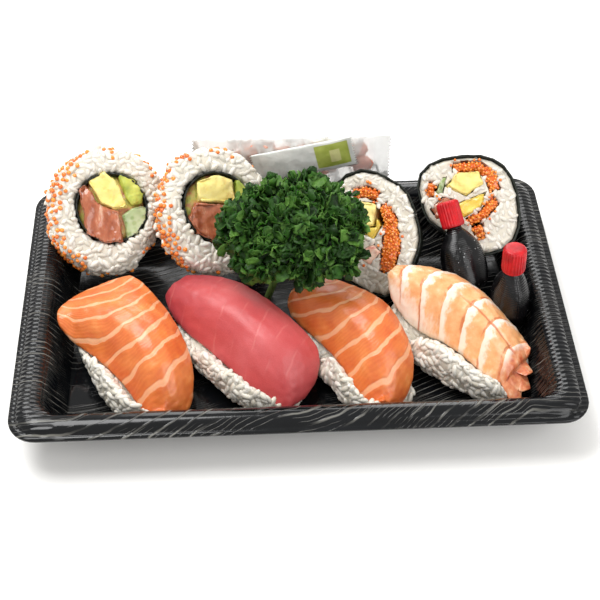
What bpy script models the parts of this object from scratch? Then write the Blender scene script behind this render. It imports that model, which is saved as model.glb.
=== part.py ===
# Family sushi tray: four nigiri, four roll slices, parsley, two sachets and two soy bottles.
# Metres, +Z up. The origin is under the middle of the tray, on the surface it stands on.

import math
import random

import bmesh
import bpy
from mathutils import Matrix, Vector, noise
from mathutils.bvhtree import BVHTree

MM = 0.001
GAP = 0.3 * MM  # clearance between pieces that touch

# Tray
TRAY_LENGTH = 218 * MM
TRAY_DEPTH = 138 * MM
CORNER_RADIUS = 11 * MM
LIP_WIDTH = 2.2 * MM
LIP_HEIGHT = 19 * MM
RIM_WIDTH = 12 * MM  # lip and bead together
RIM_HEIGHT = 22 * MM
WALL_TAPER = 7 * MM
SHEET = 0.8 * MM
CORNER_STEPS = 4

# Rolls
ROLL_STEPS = 26
NORI = 0.6 * MM
URAMAKI_RADIUS = 25.2 * MM
URAMAKI_HOLE = 16.0 * MM
URAMAKI_THICKNESS = 21 * MM
FUTOMAKI_THICKNESS = 20 * MM
EDGE_ROUND = 4.5 * MM
GRAIN = 0.45 * MM  # how far a rice grain stands out of the surface
ROE_RADIUS = 1.15 * MM
ROE_PER_ROLL = 14
ROE_TRIES = 400
ROLL_TAPER = 0.85  # the rolls are squeezed together, narrower at their hidden ends
HEAP_TRIES = 8
PRESS_STEPS = 30

# Nigiri
SLICE_THICKNESS = 4.2 * MM

# Bottles
BOTTLE_FLATNESS = 0.66
BOTTLE_WALL = 0.6 * MM
BOTTLE_STEPS = 12
CAP_RADIUS = 4.7 * MM
NECK_RADIUS = 3.0  # heights and radii of bottle and cap in millimetres
NECK_TOP = 31.5
SHOULDER = 20.0  # the flattened body turns round between here and the collar
COLLAR = 26.0
CAP_FOOT = 27.3
CAP_TOP = 38.4
CAP_TIP = 1.3

# Sachets
GINGER_WIDTH = 85 * MM
GINGER_HEIGHT = 27.5 * MM
WASABI_WIDTH = 44 * MM
WASABI_HEIGHT = 16 * MM
SEAL = 7 * MM


def clear_scene():
    for obj in list(bpy.data.objects):
        bpy.data.objects.remove(obj, do_unlink=True)


def material(name, colour, roughness, metallic=0.0):
    mat = bpy.data.materials.new(name)
    mat.use_nodes = True
    shader = mat.node_tree.nodes["Principled BSDF"]
    shader.inputs["Base Color"].default_value = (*colour, 1.0)
    shader.inputs["Roughness"].default_value = roughness
    shader.inputs["Metallic"].default_value = metallic
    mat.diffuse_color = (*colour, 1.0)
    return mat


def make_materials():
    return {
        "black_plastic": material("black_plastic", (0.012, 0.012, 0.014), 0.2),
        "rice": material("rice", (0.80, 0.76, 0.66), 0.45),
        "nori": material("nori", (0.012, 0.016, 0.012), 0.55),
        "salmon": material("salmon", (0.78, 0.25, 0.06), 0.35),
        "tuna": material("tuna", (0.60, 0.09, 0.08), 0.35),
        "prawn": material("prawn", (0.85, 0.48, 0.25), 0.35),
        "raw_salmon": material("raw_salmon", (0.36, 0.12, 0.05), 0.35),
        "tamago": material("tamago", (0.80, 0.62, 0.19), 0.5),
        "takuan": material("takuan", (0.75, 0.52, 0.08), 0.35),
        "avocado": material("avocado", (0.50, 0.52, 0.10), 0.45),
        "cucumber": material("cucumber", (0.11, 0.22, 0.05), 0.35),
        "roe": material("roe", (0.75, 0.18, 0.02), 0.2),
        "crab": material("crab", (0.80, 0.45, 0.36), 0.5),
        "parsley": material("parsley", (0.03, 0.12, 0.015), 0.5),
        "clear_film": material("clear_film", (0.85, 0.80, 0.76), 0.15),
        "label_film": material("label_film", (0.80, 0.82, 0.70), 0.2),
        "clear_plastic": material("clear_plastic", (0.30, 0.32, 0.34), 0.15),
        "soy": material("soy", (0.02, 0.01, 0.008), 0.1),
        "red_plastic": material("red_plastic", (0.60, 0.015, 0.02), 0.35),
    }


def signed_volume(bm):
    total = 0.0
    for face in bm.faces:
        corners = [vert.co for vert in face.verts]
        for second, third in zip(corners[1:-1], corners[2:]):
            total += corners[0].dot(second.cross(third)) / 6.0
    return total


def finish(bm, name, mat, parent=None, sharp_angle=None):
    """Turn a closed mesh's faces outward and put it in the scene as a named object."""
    bmesh.ops.remove_doubles(bm, verts=bm.verts[:], dist=0.00001)
    bmesh.ops.triangulate(bm, faces=bm.faces[:])
    if signed_volume(bm) < 0:
        bmesh.ops.reverse_faces(bm, faces=bm.faces[:])
    mesh = bpy.data.meshes.new(name)
    bm.to_mesh(mesh)
    bm.free()
    if sharp_angle is not None:
        mesh.shade_smooth()
        mesh.set_sharp_from_angle(angle=math.radians(sharp_angle))
    mesh.materials.append(mat)
    obj = bpy.data.objects.new(name, mesh)
    bpy.context.scene.collection.objects.link(obj)
    obj.parent = parent
    return obj


def empty(name, location, rotation):
    holder = bpy.data.objects.new(name, None)
    bpy.context.scene.collection.objects.link(holder)
    holder.location = location
    holder.rotation_euler = rotation
    return holder


def loft(bm, rings, caps=True):
    """Skin closed rings of equal length one after another."""
    loops = [[bm.verts.new(point) for point in ring] for ring in rings]
    for lower, upper in zip(loops, loops[1:]):
        for i in range(len(lower)):
            j = (i + 1) % len(lower)
            bm.faces.new((lower[i], lower[j], upper[j], upper[i]))
    if caps:
        bm.faces.new(list(reversed(loops[0])))
        bm.faces.new(loops[-1])
    return loops


def torus_loft(bm, sections):
    """Skin closed sections round into a ring."""
    loops = [[bm.verts.new(point) for point in section] for section in sections]
    for lower, upper in zip(loops, loops[1:] + loops[:1]):
        for i in range(len(lower)):
            j = (i + 1) % len(lower)
            bm.faces.new((lower[i], lower[j], upper[j], upper[i]))


def offset_outline(outline, distance):
    """Move each edge of a counter-clockwise outline outward."""
    moved = []
    count = len(outline)
    for i in range(count):
        before, here, after = outline[i - 1], outline[i], outline[(i + 1) % count]
        into = (Vector(here) - Vector(before)).normalized()
        away = (Vector(after) - Vector(here)).normalized()
        normal_in = Vector((into.y, -into.x))
        normal_out = Vector((away.y, -away.x))
        corner = (normal_in + normal_out).normalized()
        reach = distance / max(corner.dot(normal_in), 0.5)
        moved.append((here[0] + corner.x * reach, here[1] + corner.y * reach))
    return moved


def smooth_loop(values, angle):
    """Value at an angle of a closed curve given at even steps round the circle."""
    place = (angle / math.tau) % 1.0 * len(values)
    first = int(place) % len(values)
    blend = place - int(place)
    blend = blend * blend * (3 - 2 * blend)
    return values[first] * (1 - blend) + values[(first + 1) % len(values)] * blend


def along(stations, t):
    """Value between even stations, for t from 0 to 1, with an eased blend."""
    place = min(max(t, 0.0), 1.0) * (len(stations) - 1)
    first = min(int(place), len(stations) - 2)
    blend = place - first
    return stations[first] * (1 - blend) + stations[first + 1] * blend


def grain_noise(point, seed):
    """Bumps about the size of a rice grain, from -1 to 1."""
    sample = Vector((point.x, point.y, point.z)) / (2.3 * MM)
    return noise.noise(sample + Vector((seed * 7.1, seed * 3.3, seed * 5.7))) * 1.8


def keep_largest_shell(bm):
    """Drop loose scraps and sealed hollows that a union leaves."""
    waiting = set(bm.faces)
    shells = []
    while waiting:
        stack = [waiting.pop()]
        shell = set(stack)
        while stack:
            for edge in stack.pop().edges:
                for face in edge.link_faces:
                    if face in waiting:
                        waiting.discard(face)
                        shell.add(face)
                        stack.append(face)
        shells.append(shell)
    shells.sort(key=lambda shell: sum(face.calc_area() for face in shell))
    scraps = [face for shell in shells[:-1] for face in shell]
    if scraps:
        bmesh.ops.delete(bm, geom=scraps, context="FACES")
        loose = [vert for vert in bm.verts if not vert.link_faces]
        bmesh.ops.delete(bm, geom=loose, context="VERTS")


def combine(base, pieces, operation="UNION", solver="MANIFOLD"):
    """Join pieces to the base, or cut them from it, with one Boolean on a collection."""
    group = bpy.data.collections.new(base.name + "_pieces")
    bpy.context.scene.collection.children.link(group)
    for piece in pieces:
        bpy.context.scene.collection.objects.unlink(piece)
        group.objects.link(piece)
    boolean = base.modifiers.new("join", "BOOLEAN")
    boolean.operation = operation
    boolean.operand_type = "COLLECTION"
    boolean.collection = group
    boolean.solver = solver
    bpy.context.view_layer.update()
    evaluated = base.evaluated_get(bpy.context.evaluated_depsgraph_get())
    bm = bmesh.new()
    bm.from_mesh(evaluated.to_mesh())
    evaluated.to_mesh_clear()
    base.modifiers.remove(boolean)
    for piece in pieces:
        bpy.data.objects.remove(piece, do_unlink=True)
    bpy.data.collections.remove(group)
    bmesh.ops.dissolve_degenerate(bm, edges=bm.edges[:], dist=0.00001)
    bmesh.ops.triangulate(bm, faces=bm.faces[:])
    keep_largest_shell(bm)
    bm.to_mesh(base.data)
    bm.free()


def world_mesh(objects):
    """One surface of all the given objects in world space, for ray casts."""
    bpy.context.view_layer.update()
    points, faces = [], []
    for obj in objects:
        start = len(points)
        points += [obj.matrix_world @ vert.co for vert in obj.data.vertices]
        faces += [[start + i for i in poly.vertices] for poly in obj.data.polygons]
    return points, faces, BVHTree.FromPolygons(points, faces)


def squeeze(pieces, thickness):
    """Narrow a roll evenly towards its hidden end."""
    for piece in pieces:
        for vert in piece.data.vertices:
            share = 1 - (1 - ROLL_TAPER) * (1 - vert.co.z / thickness)
            vert.co.x *= share
            vert.co.y *= share


def press_clear(piece, covers):
    """Lower what still touches the covers until a gap is left."""
    points, faces, _ = world_mesh(covers)
    lowered = [point - Vector((0, 0, 1.5 * GAP)) for point in points]
    cover = BVHTree.FromPolygons(lowered, faces)
    for _ in range(PRESS_STEPS):
        own = world_mesh([piece])[2]
        touching = {pair[0] for pair in own.overlap(cover)}
        if not touching:
            break
        corners = {i for face in touching for i in piece.data.polygons[face].vertices}
        for i in corners:
            vert = piece.data.vertices[i]
            vert.co.z = max(vert.co.z - 0.5 * MM, 0.0)


def drop(holder, pieces, supports):
    """Lower or lift a holder until its pieces lie just clear of what is under them."""
    high = 1.0
    points, faces, own = world_mesh(pieces)
    other_points, _, other = world_mesh(supports)
    reach = high
    for point in points:
        hit = other.ray_cast(point + Vector((0, 0, high)), Vector((0, 0, -1)))
        if hit[0] is not None:
            reach = min(reach, point.z - hit[0].z)
    for point in other_points:
        hit = own.ray_cast(point - Vector((0, 0, high)), Vector((0, 0, 1)))
        if hit[0] is not None:
            reach = min(reach, hit[0].z - point.z)
    holder.location.z += GAP - reach
    raise_clear(holder, pieces, supports)


def raise_clear(holder, pieces, supports):
    """Lift a holder by small steps until nothing it carries cuts what is in place."""
    other = world_mesh(supports)[2]
    for _ in range(PRESS_STEPS):
        if not world_mesh(pieces)[2].overlap(other):
            break
        holder.location.z += GAP


def rounded_rectangle(inset, height):
    """Tray outline at a distance in from the lip's edge."""
    half_x = TRAY_LENGTH / 2 - inset
    half_y = TRAY_DEPTH / 2 - inset
    radius = max(CORNER_RADIUS - inset * 0.35, 3 * MM)
    ring = []
    for corner, (sign_x, sign_y) in enumerate(((1, 1), (-1, 1), (-1, -1), (1, -1))):
        for step in range(CORNER_STEPS + 1):
            angle = math.radians(90) * (corner + step / CORNER_STEPS)
            x = sign_x * (half_x - radius) + radius * math.cos(angle)
            y = sign_y * (half_y - radius) + radius * math.sin(angle)
            ring.append((x, y, height))
    return ring


def build_tray(mats):
    bead_middle = (LIP_WIDTH + RIM_WIDTH) / 2
    bead_half = (RIM_WIDTH - LIP_WIDTH) / 2
    bead_rise = RIM_HEIGHT - LIP_HEIGHT
    foot = RIM_WIDTH + WALL_TAPER

    def bead(turns, thinner):
        """Arch of the rim from the lip's side to the wall's side."""
        for turn in turns:
            angle = math.radians(turn)
            inset = bead_middle - (bead_half - thinner) * math.cos(angle)
            height = LIP_HEIGHT - 0.4 * MM + (bead_rise + 0.4 * MM) * math.sin(angle) - thinner
            yield inset, height

    under = [(foot + 1.2 * MM, 0.0), (foot - 0.2 * MM, 0.9 * MM)]
    under += [(RIM_WIDTH + 0.9 * MM, LIP_HEIGHT - 1.6 * MM)]
    under += list(bead((150, 90, 30), SHEET))
    under += [(LIP_WIDTH + 0.9 * MM, LIP_HEIGHT - SHEET - 0.6 * MM)]
    under += [(0.0, LIP_HEIGHT - SHEET)]
    over = [(0.0, LIP_HEIGHT), (LIP_WIDTH * 0.8, LIP_HEIGHT)]
    over += list(bead((6, 40, 90, 140, 172), 0.0))
    over += [(foot - 1.4 * MM, 2.4 * MM), (foot + 0.4 * MM, SHEET + 0.2 * MM)]
    over += [(foot + 2.0 * MM, SHEET)]
    bm = bmesh.new()
    loft(bm, [rounded_rectangle(inset, height) for inset, height in under + over])
    return finish(bm, "tray", mats["black_plastic"], sharp_angle=35)


def roll_rice_ring(name, mat, holder, outer, inner, thickness, seed):
    """Ring of rice with rounded outer edges and bumps the size of grains."""
    sections = []
    for step in range(ROLL_STEPS):
        angle = math.tau * step / ROLL_STEPS
        out = outer(angle)
        hole = inner(angle) + NORI + 2 * GAP
        profile = [(hole, 0.0), (hole, thickness - 0.8 * MM), (hole + 1.2 * MM, thickness)]
        profile += [(max(out - EDGE_ROUND * 1.1, hole + 2 * MM), thickness)]
        profile += [(out - EDGE_ROUND * 0.35, thickness - EDGE_ROUND * 0.3)]
        profile += [(out, thickness - EDGE_ROUND)]
        profile += [(out, thickness * 0.58), (out, thickness * 0.36)]
        profile += [(out - EDGE_ROUND * 0.2, EDGE_ROUND * 0.5), (out - EDGE_ROUND, 0.0)]
        section = []
        for index, (radius, height) in enumerate(profile):
            point = Vector((math.cos(angle) * radius, math.sin(angle) * radius, height))
            if index >= 3:
                bump = grain_noise(point, seed) * GRAIN
                point += Vector((math.cos(angle), math.sin(angle), 0.6)) * bump
            section.append(point)
        sections.append(section)
    bm = bmesh.new()
    torus_loft(bm, sections)
    return finish(bm, name, mat, holder, sharp_angle=60)


def roll_nori_ring(name, mat, holder, inner, thickness):
    """Thin sheet of seaweed round the fillings."""
    sections = []
    for step in range(ROLL_STEPS):
        angle = math.tau * step / ROLL_STEPS
        across = Vector((math.cos(angle), math.sin(angle), 0.0))
        near = across * inner(angle)
        far = across * (inner(angle) + NORI)
        top = Vector((0, 0, thickness + 0.2 * MM))
        sections.append([near, near + top, far + top, far])
    bm = bmesh.new()
    torus_loft(bm, sections)
    return finish(bm, name, mat, holder, sharp_angle=40)


def filling(name, mat, holder, outline, thickness, proud):
    """A filling that runs through the roll, with a slightly rounded visible end."""
    outline = [(x * MM, y * MM) for x, y in outline]
    shrunk = offset_outline(outline, -0.7 * MM)
    bm = bmesh.new()
    loft(bm, [
        [(x, y, 0.3 * MM) for x, y in outline],
        [(x, y, thickness + proud - 0.6 * MM) for x, y in outline],
        [(x, y, thickness + proud) for x, y in shrunk],
    ])
    return finish(bm, name, mat, holder, sharp_angle=30)


def roe_ball(bm, centre, radius):
    bmesh.ops.create_icosphere(bm, subdivisions=1, radius=radius,
                               matrix=Matrix.Translation(centre))


def loose_piece(bm, name, holder):
    """A closed piece in the holder's space that will be joined to another."""
    mesh = bpy.data.meshes.new(name)
    bm.to_mesh(mesh)
    bm.free()
    piece = bpy.data.objects.new(name, mesh)
    bpy.context.scene.collection.objects.link(piece)
    piece.parent = holder
    return piece


def add_roe(rice, holder, outer, thickness, places, seed):
    """Fuse roe to a roll's side and outer edge, densest round the given angles."""
    rng = random.Random(seed)
    points = [vert.co.copy() for vert in rice.data.vertices]
    faces = [list(poly.vertices) for poly in rice.data.polygons]
    surface = BVHTree.FromPolygons(points, faces)
    placed, pieces = [], []
    for _ in range(ROE_TRIES):
        if len(placed) == ROE_PER_ROLL:
            break
        middle, spread = rng.choice(places)
        angle = math.radians(rng.gauss(middle, spread))
        level = rng.uniform(0.45, 1.0) * thickness
        across = Vector((math.cos(angle), math.sin(angle), 0.0))
        start = across * (outer(angle) * 1.6) + Vector((0, 0, level + 6 * MM))
        aim = (across * (outer(angle) * 0.82) + Vector((0, 0, level - 2 * MM)) - start).normalized()
        hit, normal, _, _ = surface.ray_cast(start, aim)
        if hit is None or normal.dot(across) < -0.2:
            continue
        centre = hit + normal * ROE_RADIUS * 0.35
        if any((centre - other).length < ROE_RADIUS * 1.7 for other in placed):
            continue
        placed.append(centre)
        bm = bmesh.new()
        roe_ball(bm, centre, ROE_RADIUS * rng.uniform(0.92, 1.08))
        pieces.append(loose_piece(bm, "roe_piece", holder))
    combine(rice, pieces)


def build_uramaki(label, mats, location, rotation, outer_radii, hole_radii, fillings, places, seed):
    """Inside-out roll: rice outside with roe, seaweed round the fillings."""
    holder = empty(label, location, rotation)

    def outer(angle):
        return URAMAKI_RADIUS * smooth_loop(outer_radii, angle)

    def inner(angle):
        return URAMAKI_HOLE * smooth_loop(hole_radii, angle)

    rice = roll_rice_ring(label + "_rice", mats["rice"], holder, outer, inner,
                          URAMAKI_THICKNESS, seed)
    add_roe(rice, holder, outer, URAMAKI_THICKNESS, places, seed + 10)
    parts = [rice]
    parts.append(roll_nori_ring(label + "_nori", mats["nori"], holder, inner, URAMAKI_THICKNESS))
    for kind, slot, outline, proud in fillings:
        name = label + "_" + kind
        parts.append(filling(name, mats[slot], holder, outline, URAMAKI_THICKNESS, proud * MM))
    squeeze(parts, URAMAKI_THICKNESS)
    return holder, parts


def rice_disc(name, mat, holder, outer, thickness, seed):
    """Disc of rice with a bumpy visible face."""
    shares = (0.94, 1.0, 1.0, 0.94, 0.74, 0.52, 0.28)
    heights = (0.0, 1.0 * MM, thickness - 1.2 * MM, thickness, thickness, thickness, thickness)
    rings = []
    for index, (share, height) in enumerate(zip(shares, heights)):
        ring = []
        for step in range(ROLL_STEPS):
            angle = math.tau * step / ROLL_STEPS
            radius = outer(angle) * share
            point = Vector((math.cos(angle) * radius, math.sin(angle) * radius, height))
            if index >= 3:
                point.z += grain_noise(point, seed) * GRAIN * 1.4
            ring.append(point)
        rings.append(ring)
    bm = bmesh.new()
    loft(bm, rings)
    return finish(bm, name, mat, holder, sharp_angle=60)


def cut_pockets(rice, holder, outlines, clearance, thickness):
    """Cut a clear pocket through the rice for each filling."""
    cutters = []
    for outline in outlines:
        wide = offset_outline([(x * MM, y * MM) for x, y in outline], clearance)
        bm = bmesh.new()
        loft(bm, [[(x, y, z) for x, y in wide] for z in (-2 * MM, thickness + 4 * MM)])
        if signed_volume(bm) < 0:
            bmesh.ops.reverse_faces(bm, faces=bm.faces[:])
        cutters.append(loose_piece(bm, "pocket", holder))
    combine(rice, cutters, operation="DIFFERENCE")


def ribbon(points, widths):
    """Counter-clockwise outline of a band of changing width along a few points."""
    left, right = [], []
    for i, point in enumerate(points):
        here = Vector(point)
        ahead = Vector(points[min(i + 1, len(points) - 1)])
        behind = Vector(points[max(i - 1, 0)])
        run = (ahead - behind).normalized()
        side = Vector((run.y, -run.x)) * widths[i] / 2
        right.append(tuple(here + side))
        left.append(tuple(here - side))
    return right + left[::-1]


def build_roe_heap(name, mat, holder, points, widths, thickness, seed):
    """Band of flying-fish roe that runs through a roll, eggs showing at its end."""
    core = filling(name, mat, holder, ribbon(points, widths), thickness, 0.1 * MM)
    rng = random.Random(seed)
    pieces, placed = [], []
    for _ in range(HEAP_TRIES):
        t = rng.uniform(0.15, 0.85)
        place = along([Vector(point) for point in points], t)
        width = along(list(widths), t) / 2 - 0.9
        centre = Vector((place.x + rng.uniform(-width, width) * 0.6,
                         place.y + rng.uniform(-width, width) * 0.6, 0.0)) * MM
        centre.z = thickness + rng.uniform(0.0, 0.5) * MM
        if any((centre - other).length < ROE_RADIUS * 1.5 for other in placed):
            continue
        placed.append(centre)
        bm = bmesh.new()
        roe_ball(bm, centre, ROE_RADIUS * 0.9)
        pieces.append(loose_piece(bm, "roe_piece", holder))
    combine(core, pieces)
    return core


def build_futomaki(label, mats, location, rotation, outer_radii, fillings, heaps, seed):
    """Thick roll: seaweed outside, rice and several fillings inside."""
    holder = empty(label, location, rotation)
    thickness = FUTOMAKI_THICKNESS

    def outer(angle):
        return smooth_loop(outer_radii, angle) * MM

    def under_nori(angle):
        return outer(angle) - NORI - 1.2 * GAP

    def nori_inner(angle):
        return outer(angle) - NORI

    rice = rice_disc(label + "_rice", mats["rice"], holder, under_nori, thickness, seed)
    cut_pockets(rice, holder, [outline for _, _, outline, _ in fillings], 1.3 * GAP, thickness)
    cut_pockets(rice, holder, [ribbon(*heap) for heap in heaps], ROE_RADIUS, thickness)
    parts = [rice]
    parts.append(roll_nori_ring(label + "_nori", mats["nori"], holder, nori_inner, thickness))
    for kind, slot, outline, proud in fillings:
        name = label + "_" + kind
        parts.append(filling(name, mats[slot], holder, outline, thickness, proud * MM))
    for index, (points, widths) in enumerate(heaps):
        name = label + "_roe_" + str(index + 1)
        parts.append(build_roe_heap(name, mats["roe"], holder, points, widths, thickness,
                                    seed + index))
    squeeze(parts, thickness)
    return holder, parts


def slice_point(shape, along_length, across, level, floor):
    """Point of a fish slice: level 1 is the top skin, 0 the underside."""
    left = along(shape["left"], along_length)
    right = along(shape["right"], along_length)
    middle = (left + right) / 2
    reach = (right - left) / 2
    x = middle + reach * across
    y = along(shape["station"], along_length)
    edge = along(shape["left_edge"] if across < 0 else shape["right_edge"], along_length)
    crest = along(shape["crest"], along_length)
    height = crest + (edge - crest) * abs(across) ** 2.2
    thick = SLICE_THICKNESS / MM * (1 - 0.45 * abs(across) ** 3)
    thick *= 1 - 0.35 * abs(2 * along_length - 1) ** 6
    height += shape["relief"](along_length, across) * level
    ground = floor(x * MM, y * MM) / MM + 0.6
    height = max(height, ground + thick)
    return Vector((x, y, height - thick * (1 - level))) * MM


def build_slice(name, mat, holder, shape, rows, columns, floor):
    """Draped slice of fish with the same grid on its top and underside."""
    bm = bmesh.new()
    skins = []
    for level in (0, 1):
        skin = []
        for row in range(rows + 1):
            line = []
            for column in range(columns + 1):
                across = 2 * column / columns - 1
                line.append(bm.verts.new(slice_point(shape, row / rows, across, level,
                                                     floor)))
            skin.append(line)
        skins.append(skin)
    for skin in skins:
        for row in range(rows):
            for column in range(columns):
                quad = [skin[row][column], skin[row][column + 1],
                        skin[row + 1][column + 1], skin[row + 1][column]]
                bm.faces.new(quad if skin is skins[1] else quad[::-1])

    def edge_walk(skin):
        walk = [skin[0][c] for c in range(columns)]
        walk += [skin[r][columns] for r in range(rows)]
        walk += [skin[rows][c] for c in range(columns, 0, -1)]
        walk += [skin[r][0] for r in range(rows, 0, -1)]
        return walk

    lower, upper = edge_walk(skins[0]), edge_walk(skins[1])
    for i in range(len(lower)):
        j = (i + 1) % len(lower)
        bm.faces.new((lower[i], lower[j], upper[j], upper[i]))
    bmesh.ops.recalc_face_normals(bm, faces=bm.faces[:])
    return finish(bm, name, mat, holder, sharp_angle=50)


def lowest_cover(cover, point, reach):
    """Lowest underside found straight above a point and close round it."""
    found = []
    for turn in range(9):
        step = Vector((math.cos(turn * math.tau / 8), math.sin(turn * math.tau / 8), 0)) * reach
        start = point + (step if turn < 8 else Vector((0, 0, 0)))
        hit = cover.ray_cast(Vector((start.x, start.y, SHEET + GAP)), Vector((0, 0, 1)))[0]
        if hit is not None:
            found.append(hit.z)
    return min(found) if found else None


def build_nigiri_rice(name, mat, holder, covers, size, centre, seed, floor):
    """Hand-pressed block of rice, bumpy as grains, tucked under the slices over it."""
    around, lengthwise = 14, 11
    half_width, half_length, height = (value * MM for value in size)
    rings = []
    for step in range(lengthwise + 1):
        place = math.radians(-86 + 172 * step / lengthwise)
        y = math.copysign(abs(math.sin(place)) ** 0.85, place) * half_length
        share = math.cos(place) ** 0.5
        ring = []
        for turn in range(around):
            angle = math.tau * (turn + 0.5) / around
            x = math.copysign(abs(math.cos(angle)) ** 0.75, math.cos(angle)) * half_width * share
            up = math.copysign(abs(math.sin(angle)) ** 0.75, math.sin(angle))
            z = height / 2 + up * height / 2 * share
            point = Vector((x + centre[0] * MM, y + centre[1] * MM, z))
            lean = Vector((x, y * 0.3, z - height / 2)).normalized()
            point += lean * grain_noise(point, seed) * GRAIN * 1.3
            point.z = max(point.z, 0.0)
            ring.append(point)
        rings.append(ring)
    cover = world_mesh(covers)[2]
    spot = holder.matrix_world
    for ring in rings:
        for point in ring:
            limit = lowest_cover(cover, spot @ point, 3.2 * MM)
            if limit is not None:
                point.z = min(point.z, limit - spot.translation.z - 0.8 * MM)
            point.z = max(point.z, floor(point.x, point.y) + 0.3 * MM)
    bm = bmesh.new()
    loft(bm, rings)
    return finish(bm, name, mat, holder, sharp_angle=60)


def smooth_relief(along_length, across):
    return 0.25 * math.sin(along_length * 17 + across * 2)


def prawn_relief(along_length, across):
    """Six segments along the prawn and the cut line down its middle."""
    segment = abs(math.sin(along_length * math.pi * 5.5 + abs(across) * 0.9))
    line = -0.9 * math.exp(-(across / 0.12) ** 2)
    return 1.1 * segment ** 0.6 + line - 0.6


def build_tail_blade(holder, root, tip, width, seed):
    """One thin wavy blade of the prawn's tail fan."""
    steps = 5
    root, tip = Vector(root) * MM, Vector(tip) * MM
    run = (tip - root).normalized()
    side = run.cross(Vector((0, 0, 1))).normalized()
    up = side.cross(run).normalized()
    bm = bmesh.new()
    rings = []
    for step in range(steps + 1):
        t = step / steps
        half = width * MM / 2 * (0.35 + 0.65 * math.sin(math.pi * (0.15 + 0.72 * t)))
        wave = math.sin(t * 5 + seed) * 0.5 * MM
        middle = root.lerp(tip, t) + up * wave
        thick = 0.9 * MM * (1 - 0.4 * t)
        rings.append([middle - side * half - up * thick * 0.3, middle - up * thick,
                      middle + side * half - up * thick * 0.3, middle + up * thick])
    loft(bm, rings)
    if signed_volume(bm) < 0:
        bmesh.ops.reverse_faces(bm, faces=bm.faces[:])
    return loose_piece(bm, "tail_blade", holder)


NIGIRI = {
    "salmon_nigiri_1": {
        "slot": "salmon", "place": (-62.6, -23.7), "turn": 25, "grid": (10, 6),
        "station": [35, 29, 19, 8, -6, -17, -25, -29],
        "left": [-12, -25, -21, -15, -10.5, -8.5, -7, -3],
        "right": [12, 15.5, 17, 19, 19, 16.5, 12.5, 8],
        "crest": [21.5, 24, 27, 28, 27, 22.5, 13.5, 7.5],
        "left_edge": [20, 17, 14, 13, 11, 8, 5, 4],
        "right_edge": [20.5, 21, 20, 18, 15.5, 11.5, 7, 5],
        "rice": (17.0, 28.5, 23), "rice_centre": (-2.2, 1), "relief": smooth_relief,
    },
    "tuna_nigiri": {
        "slot": "tuna", "place": (-22.2, -24.3), "turn": 36.5, "grid": (10, 6),
        "station": [41, 34, 23, 8, -8, -19, -26, -29.5],
        "left": [-7, -10, -10.5, -8, -7, -4.5, -2.5, -0.5],
        "right": [4, 13, 18, 22, 24.5, 25, 20, 9],
        "crest": [21, 24, 27, 28, 26.5, 21.5, 13, 7],
        "left_edge": [17, 15, 14, 13, 11, 8, 5, 4],
        "right_edge": [21, 22, 23, 21.5, 18.5, 14, 9.5, 6],
        "rice": (16.6, 29.5, 23), "rice_centre": (1.5, 1.0), "relief": smooth_relief,
    },
    "salmon_nigiri_2": {
        "slot": "salmon", "place": (24.8, -24.3), "turn": 20.3, "grid": (10, 6),
        "station": [34, 28, 19, 9.5, -3, -14, -23, -28],
        "left": [-15, -20, -17, -13, -9, -9, -7.5, -4],
        "right": [-3, 4, 12, 19, 19.5, 18, 12.5, 4],
        "crest": [22.5, 25, 27.5, 28, 27, 22.5, 14, 7],
        "left_edge": [19, 17, 15, 14, 12, 9, 6, 4],
        "right_edge": [23.5, 24, 23, 20, 16.5, 13, 8, 5],
        "rice": (16.0, 28.5, 23), "rice_centre": (-0.5, 0.5), "relief": smooth_relief,
    },
    "prawn_nigiri": {
        "slot": "prawn", "place": (65.3, -19.8), "turn": 45.1, "grid": (13, 7),
        "station": [34, 29, 21, 12, 2, -10, -20, -26],
        "left": [-5, -9, -9.5, -8, -5, -5.5, -6, -4],
        "right": [0.5, 6, 13.5, 19, 21, 19, 17.3, 13],
        "crest": [30, 31, 31, 30, 28, 24, 17, 12],
        "left_edge": [29, 24, 17, 13, 12.5, 11, 8.5, 7],
        "right_edge": [29.5, 29, 27, 22.5, 18.5, 15.5, 12, 9],
        "rice": (17.2, 29, 24), "rice_centre": (-1.8, -0.5), "relief": prawn_relief,
    },
}
PRAWN_TAIL = [
    # root, tip and width of each blade
    ((2, -22, 9.5), (-6, -34, 4.5), 8),
    ((5, -23, 9.5), (0, -34, 6.5), 8),
    ((7.5, -22, 10.5), (4.6, -31.5, 10), 7.5),
]


def build_nigiri(name, mats, shape, tray, covers):
    """One nigiri: its slice first, then the rice under it."""
    holder = empty(name, (shape["place"][0] * MM, shape["place"][1] * MM, SHEET + GAP),
                   (0, 0, math.radians(shape["turn"])))
    bpy.context.view_layer.update()
    ground = world_mesh([tray])[2]
    spot = holder.matrix_world.copy()

    def floor(x, y):
        """Height over the holder of the tray's surface, looking a little way round."""
        heights = []
        for step_x, step_y in ((0, 0), (2.5, 0), (-2.5, 0), (0, 2.5), (0, -2.5)):
            place = spot @ Vector((x + step_x * MM, y + step_y * MM, 0.0))
            hit = ground.ray_cast(Vector((place.x, place.y, 1.0)), Vector((0, 0, -1)))[0]
            heights.append(hit.z - spot.translation.z if hit is not None else 0.0)
        return max(heights)

    rows, columns = shape["grid"]
    topping = build_slice(name + "_" + shape["slot"], mats[shape["slot"]], holder, shape,
                          rows, columns, floor)
    if shape["slot"] == "prawn":
        blades = [build_tail_blade(holder, root, tip, width, index)
                  for index, (root, tip, width) in enumerate(PRAWN_TAIL)]
        combine(topping, blades)
    rice = build_nigiri_rice(name + "_rice", mats["rice"], holder, covers + [topping],
                             shape["rice"], shape["rice_centre"], len(name) + shape["turn"],
                             floor)
    press_clear(rice, covers + [topping])
    return [rice, topping]


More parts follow.
